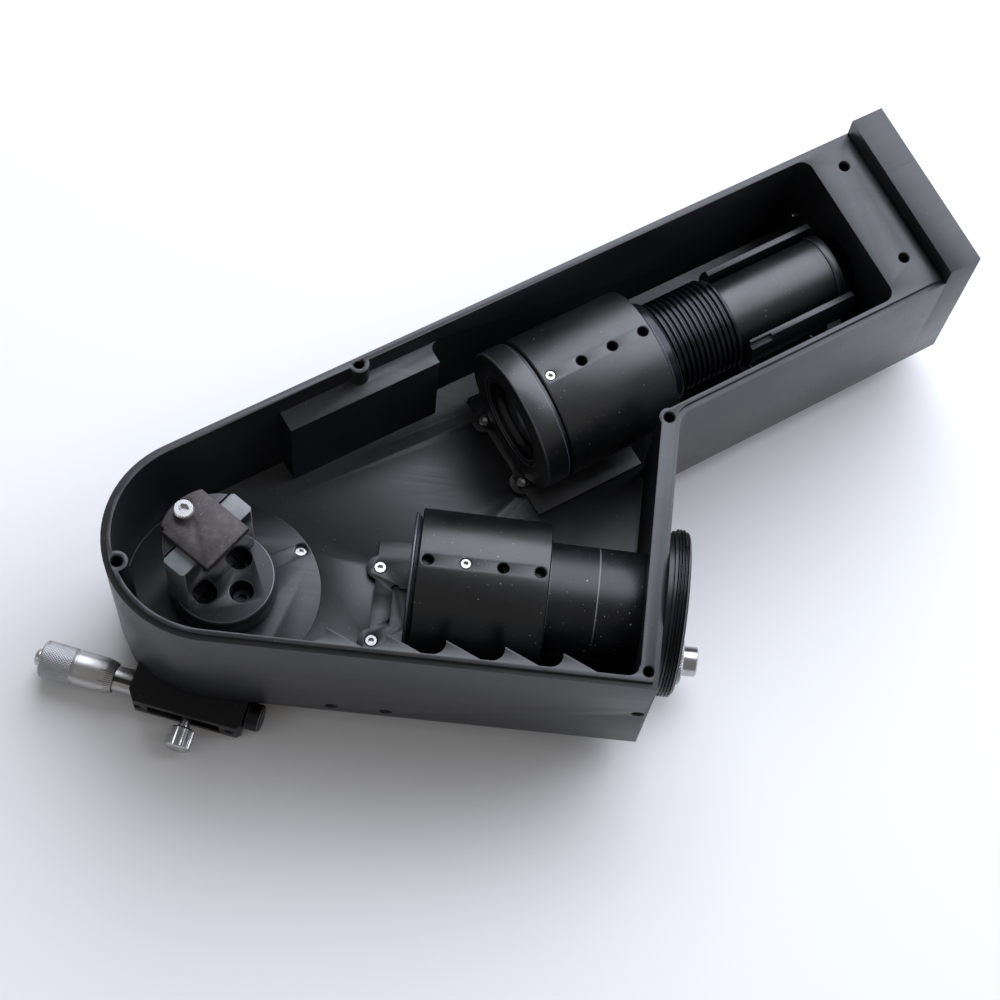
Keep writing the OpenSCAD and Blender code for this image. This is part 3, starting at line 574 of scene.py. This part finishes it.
def run_tree(tree, points, values, name):
    """A plain mesh from a tree run over points, each a (place, axis) pair."""
    seed = bpy.data.meshes.new(name + "_seed")
    seed.from_pydata([tuple(p) for p, _ in points], [], [])
    axis = seed.attributes.new("axis", "FLOAT_VECTOR", "POINT")
    for k, (_, direction) in enumerate(points):
        axis.data[k].vector = direction
    piece = bpy.data.objects.new(name + "_work", seed)
    bpy.context.scene.collection.objects.link(piece)
    modifier = piece.modifiers.new("make", "NODES")
    modifier.node_group = tree
    for item in tree.interface.items_tree:
        if item.item_type == "SOCKET" and item.in_out == "INPUT" and item.name in values:
            modifier[item.identifier] = values[item.name]
    bpy.context.view_layer.update()
    mesh = evaluated_mesh(piece, name)
    bpy.data.objects.remove(piece)
    return mesh


def on_points(tree, given, shape):
    """Stands a shape on each point, its Z along the point's axis."""
    axis = add(tree, "GeometryNodeInputNamedAttribute", {"Name": "axis"}, data_type="FLOAT_VECTOR")
    turn = add(tree, "FunctionNodeAlignRotationToVector", {"Vector": axis.outputs[0]}, axis="Z")
    return add(
        tree,
        "GeometryNodeInstanceOnPoints",
        {"Points": given.outputs["Geometry"], "Instance": shape, "Rotation": turn.outputs[0]},
    ).outputs[0]


def vector_node(tree, x=0.0, y=0.0, z=0.0):
    return add(tree, "ShaderNodeCombineXYZ", {0: x, 1: y, 2: z}).outputs[0]


def cylinder_node(tree, radius, depth, count, bottom=0.0, rings=1):
    """A cylinder that stands on the height bottom."""
    made = add(
        tree,
        "GeometryNodeMeshCylinder",
        {"Vertices": count, "Side Segments": rings, "Radius": radius, "Depth": depth},
    ).outputs["Mesh"]
    half = math_node(tree, "MULTIPLY_ADD", depth, 0.5, bottom)
    return add(
        tree, "GeometryNodeTransform", {"Geometry": made, "Translation": vector_node(tree, z=half)}
    ).outputs[0]


def socket_screw_tree():
    """Socket-head cap screw, seated on each point: chamfered head, hexagon socket, shank."""
    number = "NodeSocketFloat"
    tree, given, output = new_tree(
        "socket_screw",
        [
            ("Head Radius", number, 0.003),
            ("Head Height", number, 0.0026),
            ("Socket Radius", number, 0.0015),
            ("Socket Depth", number, 0.0015),
            ("Shank Radius", number, 0.0019),
            ("Shank Length", number, 0.008),
            ("Chamfer", number, 0.0003),
            ("Material", "NodeSocketMaterial", None),
        ],
    )
    get = given.outputs
    straight = math_node(tree, "SUBTRACT", get["Head Height"], get["Chamfer"])
    head = cylinder_node(tree, get["Head Radius"], straight, 48)
    up = add(tree, "GeometryNodeInputNormal").outputs[0]
    top = math_node(tree, "GREATER_THAN", add(tree, "ShaderNodeSeparateXYZ", {0: up}).outputs[2], 0.9)
    raised = add(
        tree,
        "GeometryNodeExtrudeMesh",
        {"Mesh": head, "Selection": top, "Offset Scale": get["Chamfer"], "Individual": False},
        mode="FACES",
    )
    inner = math_node(tree, "SUBTRACT", get["Head Radius"], get["Chamfer"])
    ratio = math_node(tree, "DIVIDE", inner, get["Head Radius"])
    eased_head = add(
        tree,
        "GeometryNodeScaleElements",
        {"Geometry": raised.outputs["Mesh"], "Selection": raised.outputs["Top"], "Scale": ratio},
        domain="FACE",
    ).outputs[0]
    overlap = math_node(tree, "MULTIPLY", get["Head Height"], 0.2)
    length = math_node(tree, "ADD", get["Shank Length"], overlap)
    low = math_node(tree, "MULTIPLY", get["Shank Length"], -1.0)
    shank = cylinder_node(tree, get["Shank Radius"], length, 32, low)
    whole = add(tree, "GeometryNodeMeshBoolean", operation="UNION", solver="EXACT")
    tree.links.new(eased_head, whole.inputs["Mesh 2"])
    tree.links.new(shank, whole.inputs["Mesh 2"])
    floor = math_node(tree, "SUBTRACT", get["Head Height"], get["Socket Depth"])
    key = cylinder_node(tree, get["Socket Radius"], get["Head Height"], 6, floor)
    cut = add(
        tree,
        "GeometryNodeMeshBoolean",
        {"Mesh 1": whole.outputs[0]},
        operation="DIFFERENCE",
        solver="EXACT",
    )
    tree.links.new(key, cut.inputs["Mesh 2"])
    return close_tree(tree, on_points(tree, given, cut.outputs[0]), given, output)


def helix_tree():
    """Ridge or wire wound round each point's axis: a thread of a four-cornered section."""
    number = "NodeSocketFloat"
    tree, given, output = new_tree(
        "wound_thread",
        [
            ("Radius", number, 0.012),
            ("Height", number, 0.001),
            ("Pitch", number, 0.002),
            ("Turns", number, 10.0),
            ("Root Share", number, 1.0),
            ("Crest Share", number, 0.15),
            ("Steps", "NodeSocketInt", 72),
            ("Material", "NodeSocketMaterial", None),
        ],
    )
    get = given.outputs
    rise = math_node(tree, "MULTIPLY", get["Pitch"], get["Turns"])
    path = add(
        tree,
        "GeometryNodeCurveSpiral",
        {
            "Resolution": get["Steps"],
            "Rotations": get["Turns"],
            "Start Radius": get["Radius"],
            "End Radius": get["Radius"],
            "Height": rise,
        },
    ).outputs[0]
    path = add(tree, "GeometryNodeSetCurveNormal", {0: path}, mode="Z_UP").outputs[0]
    root = math_node(tree, "MULTIPLY", math_node(tree, "MULTIPLY", get["Pitch"], 0.5), get["Root Share"])
    crest = math_node(tree, "MULTIPLY", math_node(tree, "MULTIPLY", get["Pitch"], 0.5), get["Crest Share"])
    less_root = math_node(tree, "MULTIPLY", root, -1.0)
    less_crest = math_node(tree, "MULTIPLY", crest, -1.0)
    # the section's first axis points at the thread's axis, so its crest is on the minus side
    out = math_node(tree, "MULTIPLY", get["Height"], -1.0)
    section = add(
        tree,
        "GeometryNodeCurvePrimitiveQuadrilateral",
        {
            "Point 1": vector_node(tree, 0.0, root),
            "Point 2": vector_node(tree, out, crest),
            "Point 3": vector_node(tree, out, less_crest),
            "Point 4": vector_node(tree, 0.0, less_root),
        },
        mode="POINTS",
    ).outputs[0]
    ridge = add(
        tree, "GeometryNodeCurveToMesh", {"Curve": path, "Profile Curve": section, "Fill Caps": True}
    ).outputs[0]
    return close_tree(tree, on_points(tree, given, ridge), given, output)


def knurl_tree():
    """Knurled band along each point's axis. With Slant above zero the ridges cross as diamonds."""
    number = "NodeSocketFloat"
    tree, given, output = new_tree(
        "knurled_band",
        [
            ("Radius", number, 0.006),
            ("Length", number, 0.01),
            ("Depth", number, 0.0003),
            ("Ridges", number, 40.0),
            ("Slant", number, 0.0),
            ("Around", "NodeSocketInt", 320),
            ("Along", "NodeSocketInt", 2),
            ("Material", "NodeSocketMaterial", None),
        ],
    )
    get = given.outputs
    band = cylinder_node(tree, get["Radius"], get["Length"], get["Around"], rings=get["Along"])
    place = add(tree, "ShaderNodeSeparateXYZ", {0: add(tree, "GeometryNodeInputPosition").outputs[0]}).outputs
    angle = math_node(tree, "ARCTAN2", place[1], place[0])
    count = math_node(tree, "MULTIPLY", angle, math_node(tree, "DIVIDE", get["Ridges"], math.tau))
    shift = math_node(tree, "MULTIPLY", place[2], get["Slant"])
    right = math_node(tree, "PINGPONG", math_node(tree, "ADD", count, shift), 0.5)
    left = math_node(tree, "PINGPONG", math_node(tree, "SUBTRACT", count, shift), 0.5)
    valley = math_node(tree, "MULTIPLY", math_node(tree, "MAXIMUM", right, left), 2.0)
    share = math_node(tree, "DIVIDE", math_node(tree, "MULTIPLY", valley, get["Depth"]), get["Radius"])
    scale = math_node(tree, "SUBTRACT", 1.0, share)
    moved = add(
        tree,
        "GeometryNodeSetPosition",
        {
            "Geometry": band,
            "Position": vector_node(
                tree,
                math_node(tree, "MULTIPLY", place[0], scale),
                math_node(tree, "MULTIPLY", place[1], scale),
                place[2],
            ),
        },
    ).outputs[0]
    return close_tree(tree, on_points(tree, given, moved), given, output)


# ---------------------------------------------------------------- settings


class SPECTRO_PG_finish(bpy.types.PropertyGroup):
    """Sizes and colours of the finish."""

    anodised_black: FloatVectorProperty(
        name="Anodised black",
        description="Colour of the anodised parts",
        subtype="COLOR",
        size=3,
        default=linear("#15161A")[:3],
    )
    anodised_haze: FloatVectorProperty(
        name="Anodised haze",
        description="Colour where the dye is thinner",
        subtype="COLOR",
        size=3,
        default=linear("#1D1E23")[:3],
    )
    edge_width: FloatProperty(
        name="Broken edge",
        description="Width of the broken edges of milled parts",
        unit="LENGTH",
        default=0.0003,
        min=0.0001,
        max=0.0006,
    )
    fine_edge: FloatProperty(
        name="Fine edge",
        description="Width of the broken edges of small parts",
        unit="LENGTH",
        default=0.0002,
        min=0.00005,
        max=0.0004,
    )


class SPECTRO_PG_details(bpy.types.PropertyGroup):
    """Sizes of threads and knurls."""

    focus_pitch: FloatProperty(
        name="Focus thread pitch",
        description="Pitch of the focusing thread",
        unit="LENGTH",
        default=0.002,
        min=0.0015,
        max=0.0025,
    )
    thumb_ridges: IntProperty(
        name="Thumbscrew ridges",
        description="Ridges round the thumbscrew",
        default=26,
        min=16,
        max=40,
    )
    thimble_ridges: IntProperty(
        name="Thimble ridges",
        description="Ridges round the thimble's grip",
        default=48,
        min=30,
        max=60,
    )


class SPECTRO_PG_stage(bpy.types.PropertyGroup):
    """Floor and light."""

    floor_colour: FloatVectorProperty(
        name="Floor",
        description="Colour of the floor",
        subtype="COLOR",
        size=3,
        default=(0.9, 0.9, 0.9),
    )
    sky: FloatProperty(
        name="Room light",
        description="Strength of the light all round",
        default=0.25,
        min=0.1,
        max=2.0,
    )
    key_power: FloatProperty(
        name="Overhead light",
        description="Power of the light above",
        unit="POWER",
        default=40.0,
        min=1,
        max=80,
    )


# ---------------------------------------------------------------- operators


class SPECTRO_OT_milled(bpy.types.Operator):
    """Milled parts: tub, end plate, saddles, stage, cradle and grating holder."""

    bl_idname = "spectro.milled"
    bl_label = "Milled parts"

    def execute(self, context):
        look = context.scene.spectroscope_finish
        wide, fine = look.edge_width, look.fine_edge
        for node, finish, width in (
            ("housing", "milled_anodised", wide),
            ("end_plate", "milled_anodised_arm", wide),
            ("stage_plate", "milled_anodised", fine),
            ("stage_body", "stage_anodised", wide),
            ("camera_saddle", "milled_anodised", fine),
            ("collimator_saddle", "milled_anodised_arm", fine),
            ("collimator_cradle", "milled_anodised_arm", fine),
            ("table_disc", "table_anodised", fine),
            ("grating_holder", "table_anodised", fine),
            ("plunger_body", "stage_anodised", fine),
        ):
            mesh = eased(node, finish, "anodised_edge_wear_and_highlight", width)
            keep(node + "_finished", mesh, body_of(node), (node,))
        return {"FINISHED"}


class SPECTRO_OT_turned(bpy.types.Operator):
    """Turned parts: sleeves, lens cells, tubes and rings."""

    bl_idname = "spectro.turned"
    bl_label = "Turned parts"

    def execute(self, context):
        fine = context.scene.spectroscope_finish.fine_edge
        for node, finish in (
            ("camera_sleeve", "camera_turned"),
            ("camera_cell", "dark_turned_camera"),
            ("camera_retainer", "dark_turned_camera"),
            ("camera_tube", "camera_tube_turned"),
            ("collimator_sleeve", "collimator_turned"),
            ("collimator_cell", "collimator_turned"),
            ("collimator_retainer", "dark_turned_collimator"),
            ("collimator_shoulder_ring", "worn_thread"),
            ("collimator_tube_ring", "collimator_turned"),
            ("slit_cell", "dark_turned_collimator"),
        ):
            mesh = eased(node, finish, "anodised_edge_wear_and_highlight", fine)
            keep(node + "_finished", mesh, body_of(node), (node,), 30)
        return {"FINISHED"}


class SPECTRO_OT_threads(bpy.types.Operator):
    """Focusing tube, camera ring and plunger spring, with their wound threads."""

    bl_idname = "spectro.threads"
    bl_label = "Threaded parts"

    def execute(self, context):
        pitch = context.scene.spectroscope_details.focus_pitch
        tree = helix_tree()
        arm = COLLIMATOR_AXIS.to_3x3() @ Vector((1, 0, 0))
        start = COLLIMATOR_AXIS @ Vector((0.1572, 0, 0))
        thread = run_tree(
            tree,
            [(start, arm)],
            {"Radius": 0.0149, "Height": 0.00105, "Pitch": pitch, "Turns": 11.5, "Root Share": 0.98,
             "Crest Share": 0.3, "Material": material("worn_thread")},
            "focus_thread",
        )
        core = lathe(
            [(141, 15.9), (156.2, 15.9), (156.4, 15.7), (156.4, 15), (180.9, 15), (181, 14.9), (181, 12.7),
             (181.3, 12.4), (221, 12.4), (221, 7.5), (141, 7.5)],
            COLLIMATOR_AXIS,
        )
        keep(
            "focus_tube",
            joined([(core, "collimator_turned"), (thread, "worn_thread")], "focus_tube"),
            body_of("collimator_tube"),
            ("collimator_tube",),
        )
        ridge = run_tree(
            tree,
            [(Vector((0.1377, 0, OPTICAL_Z)), Vector((1, 0, 0)))],
            {"Radius": 0.0262, "Height": 0.0008, "Pitch": 0.001, "Turns": 3.6, "Root Share": 0.98,
             "Crest Share": 0.2, "Steps": 120, "Material": material("ring_thread")},
            "adapter_thread",
        )
        ring = lathe(
            [(135, 20.6), (135, 25.2), (135.2, 25.4), (136.8, 25.4), (136.8, 26.1), (137, 26.3),
             (141.6, 26.3), (142, 25.9), (142, 21.0), (141.6, 20.6)],
            CAMERA_AXIS,
            128,
        )
        keep(
            "camera_ring",
            joined([(ring, "dark_turned_camera"), (ridge, "ring_thread")], "camera_ring"),
            body_of("adapter_ring"),
            ("adapter_ring",),
        )
        spring_from = MICROMETER_AXIS @ Vector((0.0108, 0, 0))
        spring = run_tree(
            tree,
            [(spring_from, MICROMETER_AXIS.to_3x3() @ Vector((1, 0, 0)))],
            {"Radius": 0.00105, "Height": 0.00035, "Pitch": 0.0008, "Turns": 12.0, "Root Share": 0.4,
             "Crest Share": 0.4, "Steps": 16, "Material": material("stainless")},
            "spring_wire",
        )
        keep("plunger_coil", spring, "base", ("plunger_spring",))
        return {"FINISHED"}


class SPECTRO_OT_screws(bpy.types.Operator):
    """Socket-head screws and set screws."""

    bl_idname = "spectro.screws"
    bl_label = "Screws"

    def execute(self, context):
        tree = socket_screw_tree()
        up = Vector((0, 0, 1))

        def spots(matrix, places, axis=up):
            return [(matrix @ Vector([c / 1000 for c in p]), matrix.to_3x3() @ axis) for p in places]

        def circle(radius, first):
            turns = [math.radians(first + 90 * k) for k in range(4)]
            return [(radius * math.cos(a), radius * math.sin(a)) for a in turns]

        level, arm, face = Matrix(), turned_frame(ARM_TURN), GRATING_FRAME
        head_and_socket = ("Head Radius", "Head Height", "Socket Radius", "Socket Depth")
        sizes = (*head_and_socket, "Shank Radius", "Shank Length")
        # seats in millimetres, then each set's six sizes in the order above, and its finish
        ear, foot, dark = (-12.5, 12.5), (-12, 12), "black_oxide_steel"
        set_screw, grub, steel = (1.95, 2.25, 1, 1.5, 1.9, 8.9), (1.63, 1.65, 0.9, 1.4, 1.6, 1.6), "stainless"
        wall_grub = (1.43, 2.0, 0.8, 1.5, 1.4, 3.3)
        cradle = [(u, v, 30) for u in (191.5, 216.5) for v in foot]
        stage, disc = [(x, y, 20.8) for x, y in circle(27, 37)], [(x, y, 27.9) for x, y in circle(7.7, 0)]
        plate = [(256.8, v, z) for v in (-22, 25) for z in (22, 66)]
        forward, back = Vector((1, 0, 0)), Vector((-1, 0, 0))
        sets = (
            ("stage_plate_screws", spots(level, stage), (1.95, 2, 1, 1.1, 1.45, 14.9), steel),
            ("camera_saddle_screws", spots(level, [(47, v, 25) for v in ear]), set_screw, steel),
            ("collimator_saddle_screws", spots(arm, [(100.5, v, 25) for v in ear]), set_screw, steel),
            ("cradle_screws", spots(arm, cradle), (2.7, 2.4, 1.3, 1.3, 1.45, 9.9), steel),
            ("table_screws", spots(face, disc), (3.2, 3.2, 1.5, 1.7, 1.6, 8.9), dark),
            ("clamp_screw", spots(face, [(0, 12.9, 70.62)]), (3.15, 3.4, 1.6, 1.9, 1.55, 11.9), steel),
            ("end_plate_screws", spots(arm, plate, forward), (3.5, 4, 1.6, 2.1, 2.05, 12.7), dark),
            ("camera_sleeve_grub", spots(level, [(73.333, 0, 73.2)]), grub, steel),
            ("collimator_sleeve_grub", spots(arm, [(114, 0, 73.2)]), grub, steel),
            ("end_wall_grub", spots(arm, [(231.5, 27, 39.3)], back), wall_grub, steel),
        )
        for node, places, values, finish in sets:
            given = {k: v / 1000 for k, v in zip(sizes, values)}
            given["Chamfer"] = 0.0004 if values[0] > 2 else 0.0002
            given["Material"] = material(finish)
            mesh = run_tree(tree, places, given, node)
            keep(node + "_finished", mesh, body_of(node), (node,), 25)
        return {"FINISHED"}


class SPECTRO_OT_micrometer(bpy.types.Operator):
    """Micrometer head: thimble with a knurled grip and divisions, sleeve and end stop."""

    bl_idname = "spectro.micrometer"
    bl_label = "Micrometer head"

    def execute(self, context):
        details = context.scene.spectroscope_details
        along = MICROMETER_AXIS.to_3x3() @ Vector((1, 0, 0))
        grip = run_tree(
            knurl_tree(),
            [(MICROMETER_AXIS @ Vector((-0.0474, 0, 0)), along)],
            {"Radius": 0.006, "Length": 0.0094, "Depth": 0.00022, "Ridges": float(details.thimble_ridges),
             "Slant": 1000.0, "Around": details.thimble_ridges * 6, "Along": 56,
             "Material": material("knurled_chrome")},
            "thimble_grip",
        )
        barrel = lathe(
            [(-48, 0), (-48, 5.2), (-47.3, 5.72), (-38.1, 5.72), (-37.6, 5.45), (-37.0, 5.45), (-36.8, 5.8),
             (-28.1, 5.8), (-25.2, 5.05), (-25, 4.95), (-25, 4.6), (-37.4, 4.6), (-37.4, 2.06), (-47, 2.06),
             (-47, 0)],
            MICROMETER_AXIS,
        )
        keep(
            "thimble",
            joined([(barrel, "thimble_chrome"), (grip, "knurled_chrome")], "thimble"),
            "thimble",
            ("micrometer_thimble",),
            40,
        )
        stop = lathe(
            [(-50, 0), (-50, 2.1), (-49.8, 2.45), (-49.4, 2.72), (-48.7, 2.8), (-48, 2.8), (-48, 0)],
            MICROMETER_AXIS,
            64,
        )
        keep("thimble_stop", joined([(stop, "satin_chrome")], "thimble_stop"), "thimble",
             ("micrometer_end_stop",))
        sleeve = eased("micrometer_sleeve", "sleeve_chrome", "satin_chrome", 0.00015)
        keep("micrometer_barrel", sleeve, "base", ("micrometer_sleeve",))
        return {"FINISHED"}


class SPECTRO_OT_knobs(bpy.types.Operator):
    """Ribbed lock thumbscrew and knurled side knob."""

    bl_idname = "spectro.knobs"
    bl_label = "Knobs"

    def execute(self, context):
        ridges = context.scene.spectroscope_details.thumb_ridges
        tree = knurl_tree()
        out = THUMBSCREW_AXIS.to_3x3() @ Vector((1, 0, 0))
        head = run_tree(
            tree,
            [(THUMBSCREW_AXIS @ Vector((0.0436, 0, 0)), out)],
            {"Radius": 0.0042, "Length": 0.0058, "Depth": 0.00038, "Ridges": float(ridges), "Slant": 0.0,
             "Around": ridges * 8, "Along": 2, "Material": material("nickel")},
            "thumb_head",
        )
        body = lathe(
            [(17.4, 0), (17.4, 1.3), (17.7, 1.6), (41.8, 1.6), (42, 1.95), (43, 1.95), (43, 3.3),
             (43.6, 3.95), (49.4, 3.95), (49.8, 3.6), (50, 3.1), (50, 0)],
            THUMBSCREW_AXIS,
            64,
        )
        keep("thumbscrew", joined([(body, "nickel"), (head, "nickel")], "thumbscrew"), "thumbscrew",
             ("lock_thumbscrew",), 40)
        spindle = turned_frame(0.0, 0.0, -0.0043, 0.0165)
        grip = run_tree(
            tree,
            [(Vector((0.14365, -0.0043, 0.0165)), Vector((1, 0, 0)))],
            {"Radius": 0.0082, "Length": 0.0035, "Depth": 0.0003, "Ridges": 56.0, "Slant": 900.0,
             "Around": 336, "Along": 20, "Material": material("nickel")},
            "knob_grip",
        )
        knob = lathe(
            [(121, 0), (121, 1.9), (140.5, 1.9), (140.5, 3.4), (140.8, 3.6), (143.2, 3.6), (143.2, 7.2),
             (143.7, 7.85), (147.1, 7.85), (147.6, 7.3), (147.6, 5.0), (152.2, 5.0), (152.6, 4.6),
             (152.6, 2.2), (152.2, 0)],
            spindle,
        )
        keep("knob", joined([(knob, "nickel"), (grip, "nickel")], "knob"), "knob",
             ("side_knob",), 40)
        return {"FINISHED"}


class SPECTRO_OT_grating(bpy.types.Operator):
    """Grating block with its ruled face, and the clamp plate."""

    bl_idname = "spectro.grating"
    bl_label = "Grating and clamp"

    def execute(self, context):
        mesh = eased("grating", "ground_glass", "ground_glass", 0.00025)
        mesh.materials.append(material("ruled_mirror"))
        front = GRATING_FRAME.to_3x3() @ Vector((0, -1, 0))
        for face in mesh.polygons:
            if face.normal.dot(front) > 0.99:
                face.material_index = 2
        keep("grating_block", mesh, body_of("grating"), ("grating",))
        plate = eased("clamp_plate", "worn_clamp_metal", "worn_clamp_metal", 0.0004, 3)
        keep("clamp_strip", plate, body_of("clamp_plate"), ("clamp_plate",))
        return {"FINISHED"}


class SPECTRO_OT_finish_nodes(bpy.types.Operator):
    """Finishes for the CAD nodes whose shape is shown as it is."""

    bl_idname = "spectro.finish_nodes"
    bl_label = "Inner parts"

    def execute(self, context):
        for node, finish in {
            "stage_bush": "bearing_bronze",
            "thrust_washer": "moulded_nylon",
            "stage_rotor": "satin_chrome",
            "tangent_arm": "knurled_chrome",
            "micrometer_spindle": "stainless",
            "plunger_pin": "stainless",
            "bracket_grub_screws": "black_oxide_steel",
            "camera_lens": "coated_lens_glass",
            "collimator_lens": "coated_lens_glass",
            "slit_jaws": "stainless",
        }.items():
            mesh = frame["nodes"][node].data
            mesh.materials.clear()
            mesh.materials.append(material(finish))
        return {"FINISHED"}


class SPECTRO_OT_stage(bpy.types.Operator):
    """Floor, soft light and camera."""

    bl_idname = "spectro.stage"
    bl_label = "Stage"

    def execute(self, context):
        look = context.scene.spectroscope_stage
        bm = bmesh.new()
        bmesh.ops.create_grid(bm, x_segments=1, y_segments=1, size=6.0)
        mesh = bpy.data.meshes.new("floor")
        bm.to_mesh(mesh)
        bm.free()
        floor = bpy.data.objects.new("floor", mesh)
        floor.location.z = CAD_BOX[0].z - 0.0002
        context.scene.collection.objects.link(floor)
        paper, tree = new_material("backdrop_paper")
        tooth = remap(tree, noise(tree, 900.0), 0.3, 0.7, 0.85, 0.95)
        values = {"Base Color": (*look.floor_colour, 1.0), "Roughness": tooth}
        mesh.materials.append(finish_material(paper, tree, values))

        world = bpy.data.worlds.new("room")
        world.use_nodes = True
        world.node_tree.nodes["Background"].inputs[0].default_value = (1.0, 0.97, 0.94, 1.0)
        world.node_tree.nodes["Background"].inputs[1].default_value = look.sky
        context.scene.world = world
        context.scene.view_settings.view_transform = "Standard"
        for name, place, wide, deep, power in (
            ("window", (0.55, 0.84, 1.06), 2.2, 1.4, look.key_power),
            ("fill", (-0.9, -0.6, 0.7), 0.8, 0.8, look.key_power * 0.03),
        ):
            light = bpy.data.lights.new(name, "AREA")
            light.shape, light.energy = "RECTANGLE", power
            light.size, light.size_y = wide, deep
            light.color = (0.84, 0.88, 1.0)
            lamp = bpy.data.objects.new(name, light)
            lamp.location = place
            aim = Vector((0.12, 0.07, 0.03)) - Vector(place)
            lamp.rotation_mode = "QUATERNION"
            lamp.rotation_quaternion = aim.to_track_quat("-Z", "Y")
            context.scene.collection.objects.link(lamp)

        data = bpy.data.cameras.new("camera")
        data.sensor_width, data.lens = 36.0, 84.062
        data.shift_x, data.shift_y = -0.45359, 0.12850
        data.clip_start, data.clip_end = 0.05, 20.0
        camera = bpy.data.objects.new("camera", data)
        turn = Vector((0.328123, -0.233960, 0.077346))
        camera.rotation_mode = "AXIS_ANGLE"
        camera.rotation_axis_angle = (turn.length, *turn.normalized())
        camera.location = (0.066794, -0.246978, 0.7605)
        context.scene.collection.objects.link(camera)
        context.scene.camera = camera
        return {"FINISHED"}


class SPECTRO_PT_panel(bpy.types.Panel):
    """Sizes, colours and one button for each group of pieces."""

    bl_idname = "SPECTRO_PT_panel"
    bl_label = "Spectroscope"
    bl_space_type = "VIEW_3D"
    bl_region_type = "UI"
    bl_category = "Spectroscope"

    def draw(self, context):
        scene = context.scene
        for group in (scene.spectroscope_finish, scene.spectroscope_details, scene.spectroscope_stage):
            box = self.layout.box()
            for name in group.__annotations__:
                box.prop(group, name)
        for operator in OPERATORS:
            self.layout.operator(operator.bl_idname)


OPERATORS = (
    SPECTRO_OT_milled,
    SPECTRO_OT_turned,
    SPECTRO_OT_threads,
    SPECTRO_OT_screws,
    SPECTRO_OT_micrometer,
    SPECTRO_OT_knobs,
    SPECTRO_OT_grating,
    SPECTRO_OT_finish_nodes,
    SPECTRO_OT_stage,
)
CLASSES = (SPECTRO_PG_finish, SPECTRO_PG_details, SPECTRO_PG_stage, *OPERATORS, SPECTRO_PT_panel)


def register():
    for cls in CLASSES:
        bpy.utils.register_class(cls)
    bpy.types.Scene.spectroscope_finish = PointerProperty(type=SPECTRO_PG_finish)
    bpy.types.Scene.spectroscope_details = PointerProperty(type=SPECTRO_PG_details)
    bpy.types.Scene.spectroscope_stage = PointerProperty(type=SPECTRO_PG_stage)


def unregister():
    for name in ("spectroscope_stage", "spectroscope_details", "spectroscope_finish"):
        delattr(bpy.types.Scene, name)
    for cls in reversed(CLASSES):
        bpy.utils.unregister_class(cls)


def main():
    register()
    for operator in OPERATORS:
        group, name = operator.bl_idname.split(".")
        getattr(getattr(bpy.ops, group), name)()
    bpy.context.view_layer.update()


if __name__ == "__main__":
    main()
